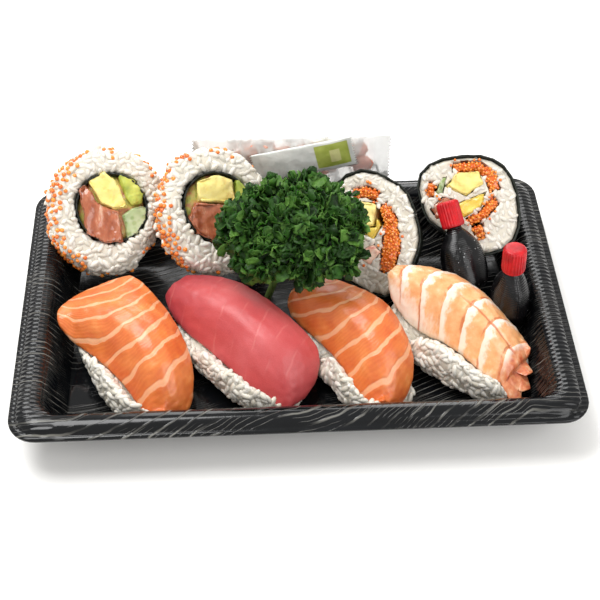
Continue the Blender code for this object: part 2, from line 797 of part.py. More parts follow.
def tube_rings(points, radii, sides):
    """Rings round a path of a few points."""
    rings = []
    for i, point in enumerate(points):
        ahead = points[min(i + 1, len(points) - 1)]
        behind = points[max(i - 1, 0)]
        run = (ahead - behind).normalized()
        side = run.orthogonal().normalized()
        up = run.cross(side)
        ring = []
        for turn in range(sides):
            angle = math.tau * turn / sides
            ring.append(point + (side * math.cos(angle) + up * math.sin(angle)) * radii[i])
        rings.append(ring)
    return rings


def frilly_leaf(centre, normal, radius, seed):
    """Thin ruffled leaf cluster, both faces split alike."""
    rng = random.Random(seed)
    lobes = 8
    side = normal.orthogonal().normalized()
    up = normal.cross(side)
    phase = rng.uniform(0, math.tau)
    half = 0.45 * MM
    bm = bmesh.new()
    skins = []
    for level in (-1, 1):
        middle = bm.verts.new(centre + normal * (half * level - radius * 0.25))
        rings = []
        for share in (0.5, 1.0):
            ring = []
            for lobe in range(lobes):
                angle = math.tau * lobe / lobes
                notch = 1.0 if lobe % 2 == 0 else 0.72
                reach = radius * share * (notch if share == 1.0 else 1.0)
                wave = math.sin(angle * 3 + phase) * 0.22 + (lobe % 2) * 0.16 - 0.05
                lift = radius * share * wave
                point = centre + side * math.cos(angle) * reach + up * math.sin(angle) * reach
                ring.append(bm.verts.new(point + normal * (lift + half * level)))
            rings.append(ring)
        skins.append((middle, rings))
    for level, (middle, rings) in enumerate(skins):
        for i in range(lobes):
            j = (i + 1) % lobes
            inner = [middle, rings[0][i], rings[0][j]]
            first = [rings[0][i], rings[1][i], rings[1][j]]
            second = [rings[0][i], rings[1][j], rings[0][j]]
            for face in (inner, first, second):
                bm.faces.new(face if level else face[::-1])
    for i in range(lobes):
        j = (i + 1) % lobes
        low_i, low_j = skins[0][1][1][i], skins[0][1][1][j]
        high_i, high_j = skins[1][1][1][i], skins[1][1][1][j]
        bm.faces.new((low_i, low_j, high_j))
        bm.faces.new((low_i, high_j, high_i))
    return bm


PARSLEY_CLUSTERS = [
    # centre, way it faces, radius
    ((7, 17, 56), (0.1, -0.1, 1.0), 11),
    ((-9, 20, 53), (-0.4, 0.1, 0.9), 10),
    ((-20, 9, 52), (-0.7, -0.2, 0.7), 10),
    ((-14, -2, 47), (-0.5, -0.7, 0.6), 10),
    ((0, 2, 55), (-0.1, -0.5, 0.9), 11),
    ((18, 12, 53), (0.6, -0.1, 0.8), 11),
    ((17, -4, 48), (0.5, -0.6, 0.6), 9),
    ((4, -7, 47), (0.0, -0.9, 0.4), 9),
]


def build_parsley(mats):
    """Sprig of curly parsley: stem, branches and a frilly leaf cluster on each."""
    holder = empty("parsley_holder", (0, 0, 0), (0, 0, 0))
    foot = Vector((-10.5, 16.0, 1.4)) * MM
    fork = Vector((-2.0, 9.0, 34.0)) * MM
    path = [foot, foot.lerp(fork, 0.35) + Vector((0.6, 0, 0)) * MM,
            foot.lerp(fork, 0.7) + Vector((0.4, 0, 0)) * MM, fork, fork + Vector((0, 0, 4)) * MM]
    bm = bmesh.new()
    loft(bm, tube_rings(path, [1.6 * MM, 1.5 * MM, 1.5 * MM, 1.7 * MM, 1.2 * MM], 6))
    stem = finish(bm, "parsley", mats["parsley"], holder, sharp_angle=60)
    pieces = []
    for index, (centre, normal, radius) in enumerate(PARSLEY_CLUSTERS):
        centre = Vector(centre) * MM
        normal = Vector(normal).normalized()
        leaf = frilly_leaf(centre, normal, radius * MM, 40 + index)
        pieces.append(loose_piece(leaf, "leaf", holder))
        end = centre + normal * 0.5 * MM
        bend = fork.lerp(end, 0.5) - Vector((0, 0, 3)) * MM
        branch = bmesh.new()
        loft(branch, tube_rings([fork, bend, end], [1.1 * MM, 0.9 * MM, 0.8 * MM], 5))
        if signed_volume(branch) < 0:
            bmesh.ops.reverse_faces(branch, faces=branch.faces[:])
        pieces.append(loose_piece(branch, "branch", holder))
    combine(stem, pieces)


def bottle_profile():
    """Radius and height from the round bottom up to the neck."""
    return [(4.2, 0.0), (7.6, 2.0), (9.2, 7.5), (9.5, 13.5), (8.4, 19.0), (5.2, 24.0),
            (NECK_RADIUS, 27.0), (NECK_RADIUS, NECK_TOP)]


def bottle_ring(radius, height):
    """Ring of the flattened body, which turns round at the neck."""
    neck = min(1.0, max(0.0, (height - SHOULDER) / (COLLAR - SHOULDER)))
    flat = BOTTLE_FLATNESS + (1 - BOTTLE_FLATNESS) * neck
    return [(radius * MM * math.cos(math.tau * i / BOTTLE_STEPS),
             radius * MM * flat * math.sin(math.tau * i / BOTTLE_STEPS), height * MM)
            for i in range(BOTTLE_STEPS)]


def build_bottle(label, mats, location, rotation):
    """Squeeze bottle of soy sauce with a ribbed cap."""
    holder = empty(label, location, rotation)
    wall = BOTTLE_WALL / MM
    clear = GAP / MM
    outside = bottle_profile()
    inside = [(max(radius - wall * 1.25, 1.9), height + (wall if height < 1 else 0.0))
              for radius, height in outside]
    bm = bmesh.new()
    loft(bm, [bottle_ring(*pair) for pair in outside + inside[::-1]])
    shell = finish(bm, label + "_shell", mats["clear_plastic"], holder, sharp_angle=50)
    sauce = [(radius - clear * 1.7, height + (clear if height < 2 else 0.0))
             for radius, height in inside[:6]]
    bm = bmesh.new()
    loft(bm, [bottle_ring(*pair) for pair in sauce])
    soy = finish(bm, label + "_soy", mats["soy"], holder, sharp_angle=50)
    bore = NECK_RADIUS + clear * 1.3
    wide = CAP_RADIUS / MM
    ribs = [(bore, CAP_FOOT), (wide, CAP_FOOT), (wide * 0.94, CAP_TOP - 2.8),
            (wide * 0.55, CAP_TOP - 1.9), (CAP_TIP + 0.3, CAP_TOP - 1.6), (CAP_TIP, CAP_TOP)]
    hollow = [(bore, CAP_FOOT), (bore, NECK_TOP + 0.5), (NECK_RADIUS / 2, NECK_TOP + 0.5)]
    rings = []
    for index, (radius, height) in enumerate(hollow[::-1] + ribs[1:]):
        ring = []
        for i in range(BOTTLE_STEPS + 2):
            angle = math.tau * i / (BOTTLE_STEPS + 2)
            rib = 0.93 if index in (3, 4) and i % 2 else 1.0
            ring.append((radius * rib * MM * math.cos(angle), radius * rib * MM * math.sin(angle),
                         height * MM))
        rings.append(ring)
    bm = bmesh.new()
    loft(bm, rings)
    cap = finish(bm, label + "_cap", mats["red_plastic"], holder, sharp_angle=40)
    return holder, [shell, soy, cap]


def build_sachet(name, mat, location, rotation, width, height, bulge, seed):
    """Filled sachet: flat seals at both ends and a lumpy middle."""
    holder = empty(name + "_holder", location, rotation)
    columns, rows = 8, 3
    bm = bmesh.new()
    skins = []
    for level in (-1, 1):
        skin = []
        for row in range(rows + 1):
            line = []
            for column in range(columns + 1):
                x = (column / columns - 0.5) * width
                z = row / rows * height
                fill = 1 if SEAL < (x + width / 2) < width - SEAL else 0
                fill *= math.sin(math.pi * (0.12 + 0.76 * row / rows))
                lump = 0.75 + 0.5 * noise.noise(Vector((x, z, seed)) / (9 * MM))
                half = 0.35 * MM + fill * lump * bulge / 2
                line.append(bm.verts.new((x, level * half, z)))
            skin.append(line)
        skins.append(skin)
    for level, skin in enumerate(skins):
        for row in range(rows):
            for column in range(columns):
                quad = [skin[row][column], skin[row][column + 1],
                        skin[row + 1][column + 1], skin[row + 1][column]]
                bm.faces.new(quad if level == 0 else quad[::-1])
    walks = []
    for skin in skins:
        walk = [skin[0][c] for c in range(columns)] + [skin[r][columns] for r in range(rows)]
        walk += [skin[rows][c] for c in range(columns, 0, -1)]
        walk += [skin[r][0] for r in range(rows, 0, -1)]
        walks.append(walk)
    for i in range(len(walks[0])):
        j = (i + 1) % len(walks[0])
        bm.faces.new((walks[0][j], walks[0][i], walks[1][i], walks[1][j]))
    bmesh.ops.recalc_face_normals(bm, faces=bm.faces[:])
    finish(bm, name, mat, holder, sharp_angle=50)


def facing(normal, up_hint=(0, 1, 0)):
    """Rotation whose Z axis is the normal and whose Y axis leans towards the hint."""
    z_axis = Vector(normal).normalized()
    y_axis = (Vector(up_hint) - z_axis * z_axis.dot(Vector(up_hint))).normalized()
    x_axis = y_axis.cross(z_axis)
    return Matrix((x_axis, y_axis, z_axis)).transposed().to_euler()


def leaning(lean, turn, spin):
    """Rotation of a bottle spun about its axis, then leaned back, then turned."""
    matrix = Matrix.Rotation(math.radians(turn), 3, "Z")
    matrix @= Matrix.Rotation(math.radians(lean), 3, "X")
    matrix @= Matrix.Rotation(math.radians(spin), 3, "Z")
    return matrix.to_euler()


def back_centre(face_centre, normal, thickness):
    """Middle of the hidden face of a roll whose visible face is at the given place."""
    return Vector(face_centre) * MM - Vector(normal).normalized() * thickness


URAMAKI_1_FILLINGS = [
    ("tamago", "tamago", [(-11.0, 9.2), (-4.4, 0.9), (0.8, -0.4), (6.6, 0.9), (0.4, 10.7),
                          (-4.3, 14.2)], 0.5),
    ("salmon", "raw_salmon", [(-13.8, 4.9), (-8.3, -11.9), (-1.2, -14.7), (6.0, -13.0),
                              (2.9, -1.2), (-3.9, -0.6), (-11.4, 8.1)], 0.9),
    ("avocado", "avocado", [(5.4, 5.2), (7.8, 2.0), (11.6, 3.6), (12.2, 7.6), (8.0, 12.0),
                            (1.8, 14.3), (0.8, 12.5)], 0.3),
    ("cucumber", "cucumber", [(4.6, -2.4), (6.6, -8.0), (8.0, -12.0), (11.4, -9.0),
                              (14.2, -3.5), (14.4, 2.0), (11.6, 2.5), (8.0, 0.8)], 0.2),
]
URAMAKI_2_FILLINGS = [
    ("tamago", "tamago", [(-10.8, 7.2), (-8.0, -0.4), (6.9, 3.4), (3.0, 11.8), (-3.0, 12.6)], 0.8),
    ("salmon", "raw_salmon", [(-9.4, -1.4), (-10.5, -8.0), (-5.6, -12.6), (1.6, -14.5),
                              (7.2, -12.0), (6.6, 2.2)], 0.8),
    ("avocado", "avocado", [(4.5, 11.6), (8.1, 4.0), (11.2, 4.2), (12.0, 7.7), (9.0, 11.2),
                            (5.3, 13.5)], 0.3),
    ("cucumber", "cucumber", [(8.0, 2.6), (8.4, -11.4), (12.3, -7.6), (14.2, -2.0),
                              (13.4, 3.0)], 0.2),
]
FUTOMAKI_1_FILLINGS = [
    ("tamago", "tamago", [(-9.0, 5.4), (1.2, 2.6), (5.0, 11.0), (-3.6, 15.4)], 0.9),
    ("takuan", "takuan", [(-5.8, 3.2), (-0.5, -2.6), (4.4, 1.8), (3.4, 5.4), (1.8, 2.0)], 0.5),
    ("cucumber", "cucumber", [(-15.5, 6.6), (-10.4, 5.6), (-5.2, 14.8), (-8.2, 15.0)], 0.4),
    ("crab", "crab", [(-9.5, -6.5), (-5.0, -12.0), (0.6, -8.6), (-1.4, -4.4)], 0.6),
]
FUTOMAKI_1_HEAPS = [
    ([(-2.6, 18.4), (2.6, 17.4), (6.6, 13.8)], [2.6, 3.4, 2.6]),
    ([(7.6, 9.4), (8.6, 2.0), (5.6, -8.0), (0.4, -17.0)], [3.0, 4.6, 6.6, 4.4]),
]
FUTOMAKI_2_FILLINGS = [
    ("tamago", "tamago", [(-8.0, 9.8), (0.2, 4.6), (7.6, 9.2), (6.4, 14.6), (-2.0, 14.6)], 0.9),
    ("takuan", "takuan", [(-3.8, 1.6), (-2.2, -4.4), (5.6, -0.8), (8.4, 5.2)], 0.6),
    ("cucumber", "cucumber", [(-12.4, 6.8), (-9.6, 6.6), (-7.4, 13.4), (-9.6, 13.0)], 0.4),
    ("raw_fish", "raw_salmon", [(-15.2, 0.4), (-13.0, -3.6), (-5.0, -2.0), (-5.0, 3.6),
                                (-9.4, 5.2)], 0.7),
]
FUTOMAKI_2_HEAPS = [
    ([(-3.4, 17.4), (6.6, 17.0), (11.4, 12.0), (12.6, 6.4)], [2.6, 2.8, 3.4, 3.6]),
    ([(0.6, -6.4), (6.6, -4.0), (12.2, 1.2)], [2.4, 3.0, 2.6]),
    ([(-14.6, 6.4), (-13.6, 11.6)], [2.4, 2.2]),
    ([(3.6, -8.8), (4.4, -13.2)], [3.4, 2.8]),
]


def build_rolls(mats, tray):
    done = [tray]
    normal_1, normal_2 = (0.18, -0.62, 0.76), (0.34, -0.58, 0.74)
    holder, parts = build_uramaki(
        "uramaki_1", mats, back_centre((-73.7, 39, 34), normal_1, URAMAKI_THICKNESS),
        facing(normal_1), [0.86, 0.97, 1.03, 1.0, 0.98, 1.0, 1.0, 0.88],
        [1, 0.98, 0.99, 1, 1, 0.98, 1, 1], URAMAKI_1_FILLINGS,
        [(180, 26), (195, 22), (100, 30)], 3)
    drop(holder, parts, done)
    done += parts
    holder, parts = build_uramaki(
        "uramaki_2", mats, back_centre((-29.5, 33.3, 40), normal_2, URAMAKI_THICKNESS),
        facing(normal_2), [1.0, 1.0, 1.02, 1.0, 0.92, 0.94, 1.02, 1.0],
        [1, 1, 0.98, 1, 1, 0.98, 1, 1], URAMAKI_2_FILLINGS,
        [(170, 26), (200, 24), (120, 26)], 5)
    drop(holder, parts, done)
    done += parts
    normal_3, normal_4 = (-0.08, -0.62, 0.78), (-0.32, -0.62, 0.71)
    holder, parts = build_futomaki(
        "futomaki_2", mats, back_centre((74.5, 36, 36), normal_3, FUTOMAKI_THICKNESS),
        facing(normal_3), [22, 23.5, 22, 24.5, 18.5, 14, 21, 24.5],
        FUTOMAKI_2_FILLINGS, FUTOMAKI_2_HEAPS, 8)
    drop(holder, parts, done)
    done += parts
    holder, parts = build_futomaki(
        "futomaki_1", mats, back_centre((34, 24.5, 34), normal_4, FUTOMAKI_THICKNESS),
        facing(normal_4), [19.5, 23, 27.5, 25, 20.5, 23, 27.5, 21],
        FUTOMAKI_1_FILLINGS, FUTOMAKI_1_HEAPS, 12)
    drop(holder, parts, done)
    return done + parts


def main():
    clear_scene()
    mats = make_materials()
    tray = build_tray(mats)
    placed = build_rolls(mats, tray)
    slices = []
    for name, shape in NIGIRI.items():
        parts = build_nigiri(name, mats, shape, tray, slices)
        slices.append(parts[1])
        placed += parts
    bottles = (("bottle_1", (74, 5, 13), (-46, 20, 0)),
               ("bottle_2", (88, -5.5, 6.8), (-5, 15, -91)))
    for label, location, turns in bottles:
        rotation = leaning(*turns)
        holder, parts = build_bottle(label, mats, Vector(location) * MM, rotation)
        raise_clear(holder, parts, placed)
        placed += parts
    build_parsley(mats)
    build_sachet("ginger_sachet", mats["clear_film"], Vector((2.5, 67.5, 19.4)) * MM,
                 (0, 0, 0), GINGER_WIDTH, GINGER_HEIGHT, 3 * MM, 3)
    build_sachet("wasabi_sachet", mats["label_film"], Vector((9, 64.0, 29)) * MM,
                 (0, math.radians(-12), 0), WASABI_WIDTH, WASABI_HEIGHT, 2 * MM, 6)


main()
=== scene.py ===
import math
import random
import bpy
import bmesh
from mathutils import Matrix, Vector, noise
from mathutils.bvhtree import BVHTree


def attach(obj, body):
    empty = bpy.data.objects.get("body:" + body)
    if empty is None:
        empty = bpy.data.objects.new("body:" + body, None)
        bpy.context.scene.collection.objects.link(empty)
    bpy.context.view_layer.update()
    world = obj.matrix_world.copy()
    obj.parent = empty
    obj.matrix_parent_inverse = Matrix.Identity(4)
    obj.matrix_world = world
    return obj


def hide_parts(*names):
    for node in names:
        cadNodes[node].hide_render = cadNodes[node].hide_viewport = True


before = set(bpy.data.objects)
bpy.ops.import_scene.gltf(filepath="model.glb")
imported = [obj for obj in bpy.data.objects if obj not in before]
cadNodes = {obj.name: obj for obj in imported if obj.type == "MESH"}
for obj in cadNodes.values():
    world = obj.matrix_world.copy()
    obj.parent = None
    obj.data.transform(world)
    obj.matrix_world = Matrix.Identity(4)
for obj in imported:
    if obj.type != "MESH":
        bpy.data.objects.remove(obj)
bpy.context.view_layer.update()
mm = 0.001
scene = bpy.context.scene
print("frame loaded,", len(cadNodes), "nodes")


# small helpers for shaders

def tint(text):  # "#e07b3a" to a linear colour
    parts = [int(text[i:i + 2], 16) / 255 for i in (1, 3, 5)]
    return tuple(v / 12.92 if v < 0.04 else ((v + 0.055) / 1.055) ** 2.4 for v in parts) + (1.0,)


def add(tree, kind, values=None, wires=None, **settings):
    node = tree.nodes.new(kind)
    for key, value in settings.items():
        setattr(node, key, value)
    for key, value in (values or {}).items():
        node.inputs[key].default_value = value
    for key, socket in (wires or {}).items():
        tree.links.new(socket, node.inputs[key])
    return node


def sums(tree, operation, first, second=0.0):
    node = add(tree, "ShaderNodeMath", operation=operation)
    for place, item in enumerate((first, second)):
        if isinstance(item, (int, float)):
            node.inputs[place].default_value = item
        else:
            tree.links.new(item, node.inputs[place])
    return node.outputs[0]


class Wire:  # output of a shader node, which can be reckoned with like a number
    def __init__(self, tree, socket):
        self.tree = tree
        self.socket = socket

    def math(self, operation, first, second=0.0):
        items = [item.socket if isinstance(item, Wire) else item for item in (first, second)]
        return Wire(self.tree, sums(self.tree, operation, *items))

    def __rsub__(self, other):
        return self.math("SUBTRACT", other, self)

    def between(self, low, high, start=0.0, end=1.0):  # smooth step from low to high
        numbers = {"From Min": low, "From Max": high, "To Min": start, "To Max": end}
        node = add(self.tree, "ShaderNodeMapRange", numbers, {"Value": self.socket},
                   interpolation_type="SMOOTHSTEP")
        return Wire(self.tree, node.outputs["Result"])

    def ramp(self, *stops):  # place, colour, place, colour and so on
        node = add(self.tree, "ShaderNodeValToRGB", wires={"Fac": self.socket})
        marks = node.color_ramp.elements
        while len(marks) < len(stops) // 2:
            marks.new(0.5)
        for mark, place, colour in zip(marks, stops[::2], stops[1::2]):
            mark.position = place
            mark.color = tint(colour)
        return Wire(self.tree, node.outputs["Color"])

    def blend(self, first, second):  # the first colour where this is 0, the second where it is 1
        node = add(self.tree, "ShaderNodeMix", data_type="RGBA")
        for slot, item in ((0, self), (6, first), (7, second)):
            if isinstance(item, str):
                node.inputs[slot].default_value = tint(item)
            else:
                self.tree.links.new(item.socket, node.inputs[slot])
        return Wire(self.tree, node.outputs[2])


pairSums = {"__add__": "ADD", "__sub__": "SUBTRACT", "__mul__": "MULTIPLY",
            "__truediv__": "DIVIDE", "__pow__": "POWER", "largest": "MAXIMUM"}
singleSums = {"__abs__": "ABSOLUTE", "fraction": "FRACT", "sine": "SINE"}
for label, kind in pairSums.items():
    setattr(Wire, label, lambda self, other, kind=kind: self.math(kind, self, other))
for label, kind in singleSums.items():
    setattr(Wire, label, lambda self, kind=kind: self.math(kind, self))


class Finish:  # a material in the making
    def __init__(self, name, roughness=0.5, **sockets):
        self.material = bpy.data.materials.new(name)
        self.material.use_nodes = True
        self.tree = self.material.node_tree
        self.shader = self.tree.nodes["Principled BSDF"]
        self.adjust(Roughness=roughness, **sockets)
        self.here = self.wire("ShaderNodeTexCoord", "Object")  # in metres

    def adjust(self, **sockets):
        for key, value in sockets.items():
            self.shader.inputs[key.replace("_", " ")].default_value = value

    def wire(self, kind, output, values=None, wires=None, **settings):
        sockets = {key: item.socket for key, item in (wires or {}).items()}
        return Wire(self.tree, add(self.tree, kind, values, sockets, **settings).outputs[output])

    def attribute(self, name):
        return self.wire("ShaderNodeAttribute", "Fac", attribute_name=name)

    def uvMap(self, name):
        return self.wire("ShaderNodeUVMap", "UV", uv_map=name)

    def axes(self, vector):
        node = add(self.tree, "ShaderNodeSeparateXYZ", wires={"Vector": vector.socket})
        return [Wire(self.tree, socket) for socket in node.outputs]

    def stretched(self, scale, turn=(0, 0, 0)):
        return self.wire("ShaderNodeMapping", "Vector", {"Scale": scale, "Rotation": turn},
                         {"Vector": self.here})

    def grainy(self, scale, detail=2.0, rough=0.5, at=None):  # noise
        values = {"Scale": scale, "Detail": detail, "Roughness": rough}
        return self.wire("ShaderNodeTexNoise", "Fac", values, {"Vector": at or self.here})

    def cells(self, scale):
        return self.wire("ShaderNodeTexVoronoi", "Distance", {"Scale": scale},
                         {"Vector": self.here}, feature="F1")

    def paint(self, colour, roughness=None, alpha=None):
        for key, item in (("Base Color", colour), ("Roughness", roughness), ("Alpha", alpha)):
            if item is not None:
                self.tree.links.new(item.socket, self.shader.inputs[key])

    def soften(self, weight, reach, radius):  # light that seeps into food
        self.adjust(Subsurface_Weight=weight, Subsurface_Scale=reach, Subsurface_Radius=radius)

    def relief(self, height, depth, strength):  # bump of some depth in metres
        node = add(self.tree, "ShaderNodeBump", {"Strength": strength, "Distance": depth},
                   {"Height": height.socket})
        self.tree.links.new(node.outputs["Normal"], self.shader.inputs["Normal"])

    def done(self, height, relief=None, soft=None):
        if soft:
            self.soften(*soft)
        if relief:
            self.relief(height, *relief)
        return self.material


# colours and relief that follow one noise; tone mixes in the tone of each strewn shape,
# and fine is a second noise for the relief
def plainFinish(name, roughness, grains, colours, relief=None, soft=None, fine=None,
                stretch=None, tone=None, **sockets):
    look = Finish(name, roughness, **sockets)
    base = look.grainy(*grains, at=look.stretched(*stretch) if stretch else None)
    share = look.attribute("tone") * tone[0] + base * tone[1] if tone else base
    look.paint(share.ramp(*colours))
    return look.done(look.grainy(*fine) if fine else base, relief, soft)


# small helpers for meshes

def newPiece(name, mesh, material, slot=None, nodes=()):
    piece = bpy.data.objects.new(name, mesh)
    scene.collection.objects.link(piece)
    mesh.materials.clear()
    mesh.materials.append(material)
    if slot:
        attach(piece, "root")
    if nodes:
        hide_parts(*nodes)
    return piece


def fromBmesh(bm, name, smooth=True):
    mesh = bpy.data.meshes.new(name)
    bm.to_mesh(mesh)
    bm.free()
    for face in mesh.polygons:
        face.use_smooth = smooth
    return mesh


def merged(nodeName, quads=True):  # CAD copy with its loose triangles sewn together
    bm = bmesh.new()
    bm.from_mesh(cadNodes[nodeName].data)
    bmesh.ops.remove_doubles(bm, verts=bm.verts[:], dist=0.00001)
    if quads:
        bmesh.ops.join_triangles(bm, faces=bm.faces[:], angle_face_threshold=0.5,
                                 angle_shape_threshold=1.2)
    return fromBmesh(bm, nodeName + "Copy")


def evaluatedMesh(piece):
    bpy.context.view_layer.update()
    graph = bpy.context.evaluated_depsgraph_get()
    mesh = bpy.data.meshes.new_from_object(piece.evaluated_get(graph))
    piece.modifiers.clear()
    return mesh


def divided(mesh, levels, simple=False, bevel=0.0, firm=0):  # finer copy of a mesh
    holder = bpy.data.objects.new("divider", mesh)
    scene.collection.objects.link(holder)

    def split(name, count, kind):
        modifier = holder.modifiers.new(name, "SUBSURF")
        modifier.levels = count
        modifier.render_levels = count
        modifier.subdivision_type = kind

    if firm:  # plain splits first, so that the outline keeps its size
        split("plain", firm, "SIMPLE")
    if bevel:
        edge = holder.modifiers.new("edge", "BEVEL")
        edge.width = bevel
        edge.segments = 2
        edge.limit_method = "ANGLE"
        edge.angle_limit = math.radians(38)
    split("finer", levels, "SIMPLE" if simple else "CATMULL_CLARK")
    result = evaluatedMesh(holder)
    bpy.data.objects.remove(holder)
    return result


def ruffle(mesh, amount, size, seed=0.0, keep=None):  # uneven surface, moved along normals
    normals = [v.normal.copy() for v in mesh.vertices]
    for vertex, normal in zip(mesh.vertices, normals):
        place = vertex.co / size + Vector((seed, seed * 0.7, -seed))
        share = 1.0 if keep is None else keep(vertex.co, normal)
        vertex.co += normal * noise.noise(place) * amount * share
    mesh.update()


def bridge(bm, low, high):  # faces between two rings of points
    for i in range(len(low)):
        j = (i + 1) % len(low)
        bm.faces.new((low[i], low[j], high[j], high[i]))


def circle(count):
    return [k * math.tau / count for k in range(count)]


def loft(rings):  # skin over rings of points, with fan caps
    bm = bmesh.new()
    rows = [[bm.verts.new(p) for p in ring] for ring in rings]
    count = len(rings[0])
    for low, high in zip(rows, rows[1:]):
        bridge(bm, low, high)
    for row, flip in ((rows[0], True), (rows[-1], False)):
        middle = bm.verts.new(sum((v.co for v in row), Vector()) / count)
        for i in range(count):
            j = (i + 1) % count
            bm.faces.new((row[j], row[i], middle) if flip else (row[i], row[j], middle))
    bmesh.ops.recalc_face_normals(bm, faces=bm.faces[:])
    return bm


def curveThrough(values, steps):  # smooth row of tuples through a few tuples
    rows = []
    for i in range(len(values) - 1):
        four = [Vector(values[min(max(i + k, 0), len(values) - 1)]) for k in (-1, 0, 1, 2)]
        for step in range(steps):
            t = step / steps
            a, b, c, d = four
            rows.append(tuple(0.5 * (2 * b + (c - a) * t + (2 * a - 5 * b + 4 * c - d) * t * t
                                     + (3 * b - a - 3 * c + d) * t ** 3)))
    return rows + [tuple(values[-1])]


def setCover(mesh, rule):  # how densely things are strewn at each point
    mesh.update()
    layer = mesh.attributes.get("cover") or mesh.attributes.new("cover", "FLOAT", "POINT")
    for i, vertex in enumerate(mesh.vertices):
        layer.data[i].value = rule(vertex.co, vertex.normal)


# Geometry Nodes: strew a small shape over a surface

def buildScatterTree():
    tree = bpy.data.node_groups.new("strew over surface", "GeometryNodeTree")
    tree.interface.new_socket(name="Geometry", in_out="OUTPUT",
                              socket_type="NodeSocketGeometry")
    inputs = {}
    kinds = {"Geometry": "Geometry", "Shape": "Object", "Spacing": "Float", "Density": "Float",
             "Seed": "Int", "Smallest": "Float", "Largest": "Float", "Sink": "Float",
             "Tilt": "Float", "Finish": "Material", "Keep Surface": "Bool"}
    for label, kind in kinds.items():
        item = tree.interface.new_socket(name=label, in_out="INPUT",
                                         socket_type="NodeSocket" + kind)
        inputs[label] = item.identifier
    given = add(tree, "NodeGroupInput").outputs
    cover = add(tree, "GeometryNodeInputNamedAttribute", {"Name": "cover"}, data_type="FLOAT")
    spread = add(tree, "GeometryNodeDistributePointsOnFaces", distribute_method="POISSON",
                 wires={"Mesh": given["Geometry"], "Distance Min": given["Spacing"],
                        "Density Max": given["Density"], "Seed": given["Seed"],
                        "Density Factor": cover.outputs["Attribute"]})
    back = sums(tree, "MULTIPLY", given["Tilt"], -1.0)
    low = add(tree, "ShaderNodeCombineXYZ", {"Z": -math.pi}, {"X": back, "Y": back})
    high = add(tree, "ShaderNodeCombineXYZ", {"Z": math.pi},
               {"X": given["Tilt"], "Y": given["Tilt"]})
    spin = add(tree, "FunctionNodeRandomValue", data_type="FLOAT_VECTOR",
               wires={0: low.outputs[0], 1: high.outputs[0]})
    euler = add(tree, "FunctionNodeEulerToRotation", wires={0: spin.outputs[0]})
    turned = add(tree, "FunctionNodeRotateRotation", rotation_space="LOCAL",
                 wires={0: spread.outputs["Rotation"], 1: euler.outputs[0]})
    size = add(tree, "FunctionNodeRandomValue", {"Seed": 3}, data_type="FLOAT",
               wires={2: given["Smallest"], 3: given["Largest"]})
    down = sums(tree, "MULTIPLY", given["Sink"], -1.0)
    shift = add(tree, "ShaderNodeVectorMath", operation="SCALE",
                wires={0: spread.outputs["Normal"], "Scale": down})
    moved = add(tree, "GeometryNodeSetPosition",
                wires={"Geometry": spread.outputs["Points"], "Offset": shift.outputs[0]})
    shape = add(tree, "GeometryNodeObjectInfo", wires={"Object": given["Shape"]})
    placed = add(tree, "GeometryNodeInstanceOnPoints",
                 wires={"Points": moved.outputs[0], "Instance": shape.outputs["Geometry"],
                        "Rotation": turned.outputs[0], "Scale": size.outputs[1]})
    tone = add(tree, "FunctionNodeRandomValue", {"Seed": 8}, data_type="FLOAT")
    marked = add(tree, "GeometryNodeStoreNamedAttribute", {"Name": "tone"}, domain="INSTANCE",
                 data_type="FLOAT", wires={"Geometry": placed.outputs[0],
                                           "Value": tone.outputs[1]})
    real = add(tree, "GeometryNodeRealizeInstances", wires={"Geometry": marked.outputs[0]})
    both = add(tree, "GeometryNodeJoinGeometry")
    tree.links.new(given["Geometry"], both.inputs[0])
    tree.links.new(real.outputs[0], both.inputs[0])
    choice = add(tree, "GeometryNodeSwitch", input_type="GEOMETRY",
                 wires={"Switch": given["Keep Surface"], "False": real.outputs[0],
                        "True": both.outputs[0]})
    smooth = add(tree, "GeometryNodeSetShadeSmooth", wires={"Geometry": choice.outputs[0]})
    finish = add(tree, "GeometryNodeSetMaterial",
                 wires={"Geometry": smooth.outputs[0], "Material": given["Finish"]})
    end = add(tree, "NodeGroupOutput")
    tree.links.new(finish.outputs[0], end.inputs[0])
    return tree, inputs


scatterTree, scatterInputs = buildScatterTree()


def strewSizes(spacing, density, seed, smallest, largest, sink, tilt, keep=False):
    return {"Spacing": spacing * mm, "Density": density, "Seed": seed, "Smallest": smallest,
            "Largest": largest, "Sink": sink * mm, "Tilt": tilt, "Keep Surface": keep}


def strew(mesh, shape, material, sizes):  # mesh of shapes lying on a surface mesh
    holder = bpy.data.objects.new("surface", mesh)
    scene.collection.objects.link(holder)
    modifier = holder.modifiers.new("strew", "NODES")
    modifier.node_group = scatterTree
    for label, value in {"Shape": shape, "Finish": material, **sizes}.items():
        modifier[scatterInputs[label]] = value
    result = evaluatedMesh(holder)
    bpy.data.objects.remove(holder)
    return result


def hiddenShape(name, bm):  # a shape that is only used to be strewn
    shape = bpy.data.objects.new(name, fromBmesh(bm, name))
    scene.collection.objects.link(shape)
    return shape


# camera, floor and light

cameraView = {"position": (-17.4, -364.8, 400.5), "yaw": 3.15, "down": 46.39, "roll": 0.41,
              "lens": 78.1}


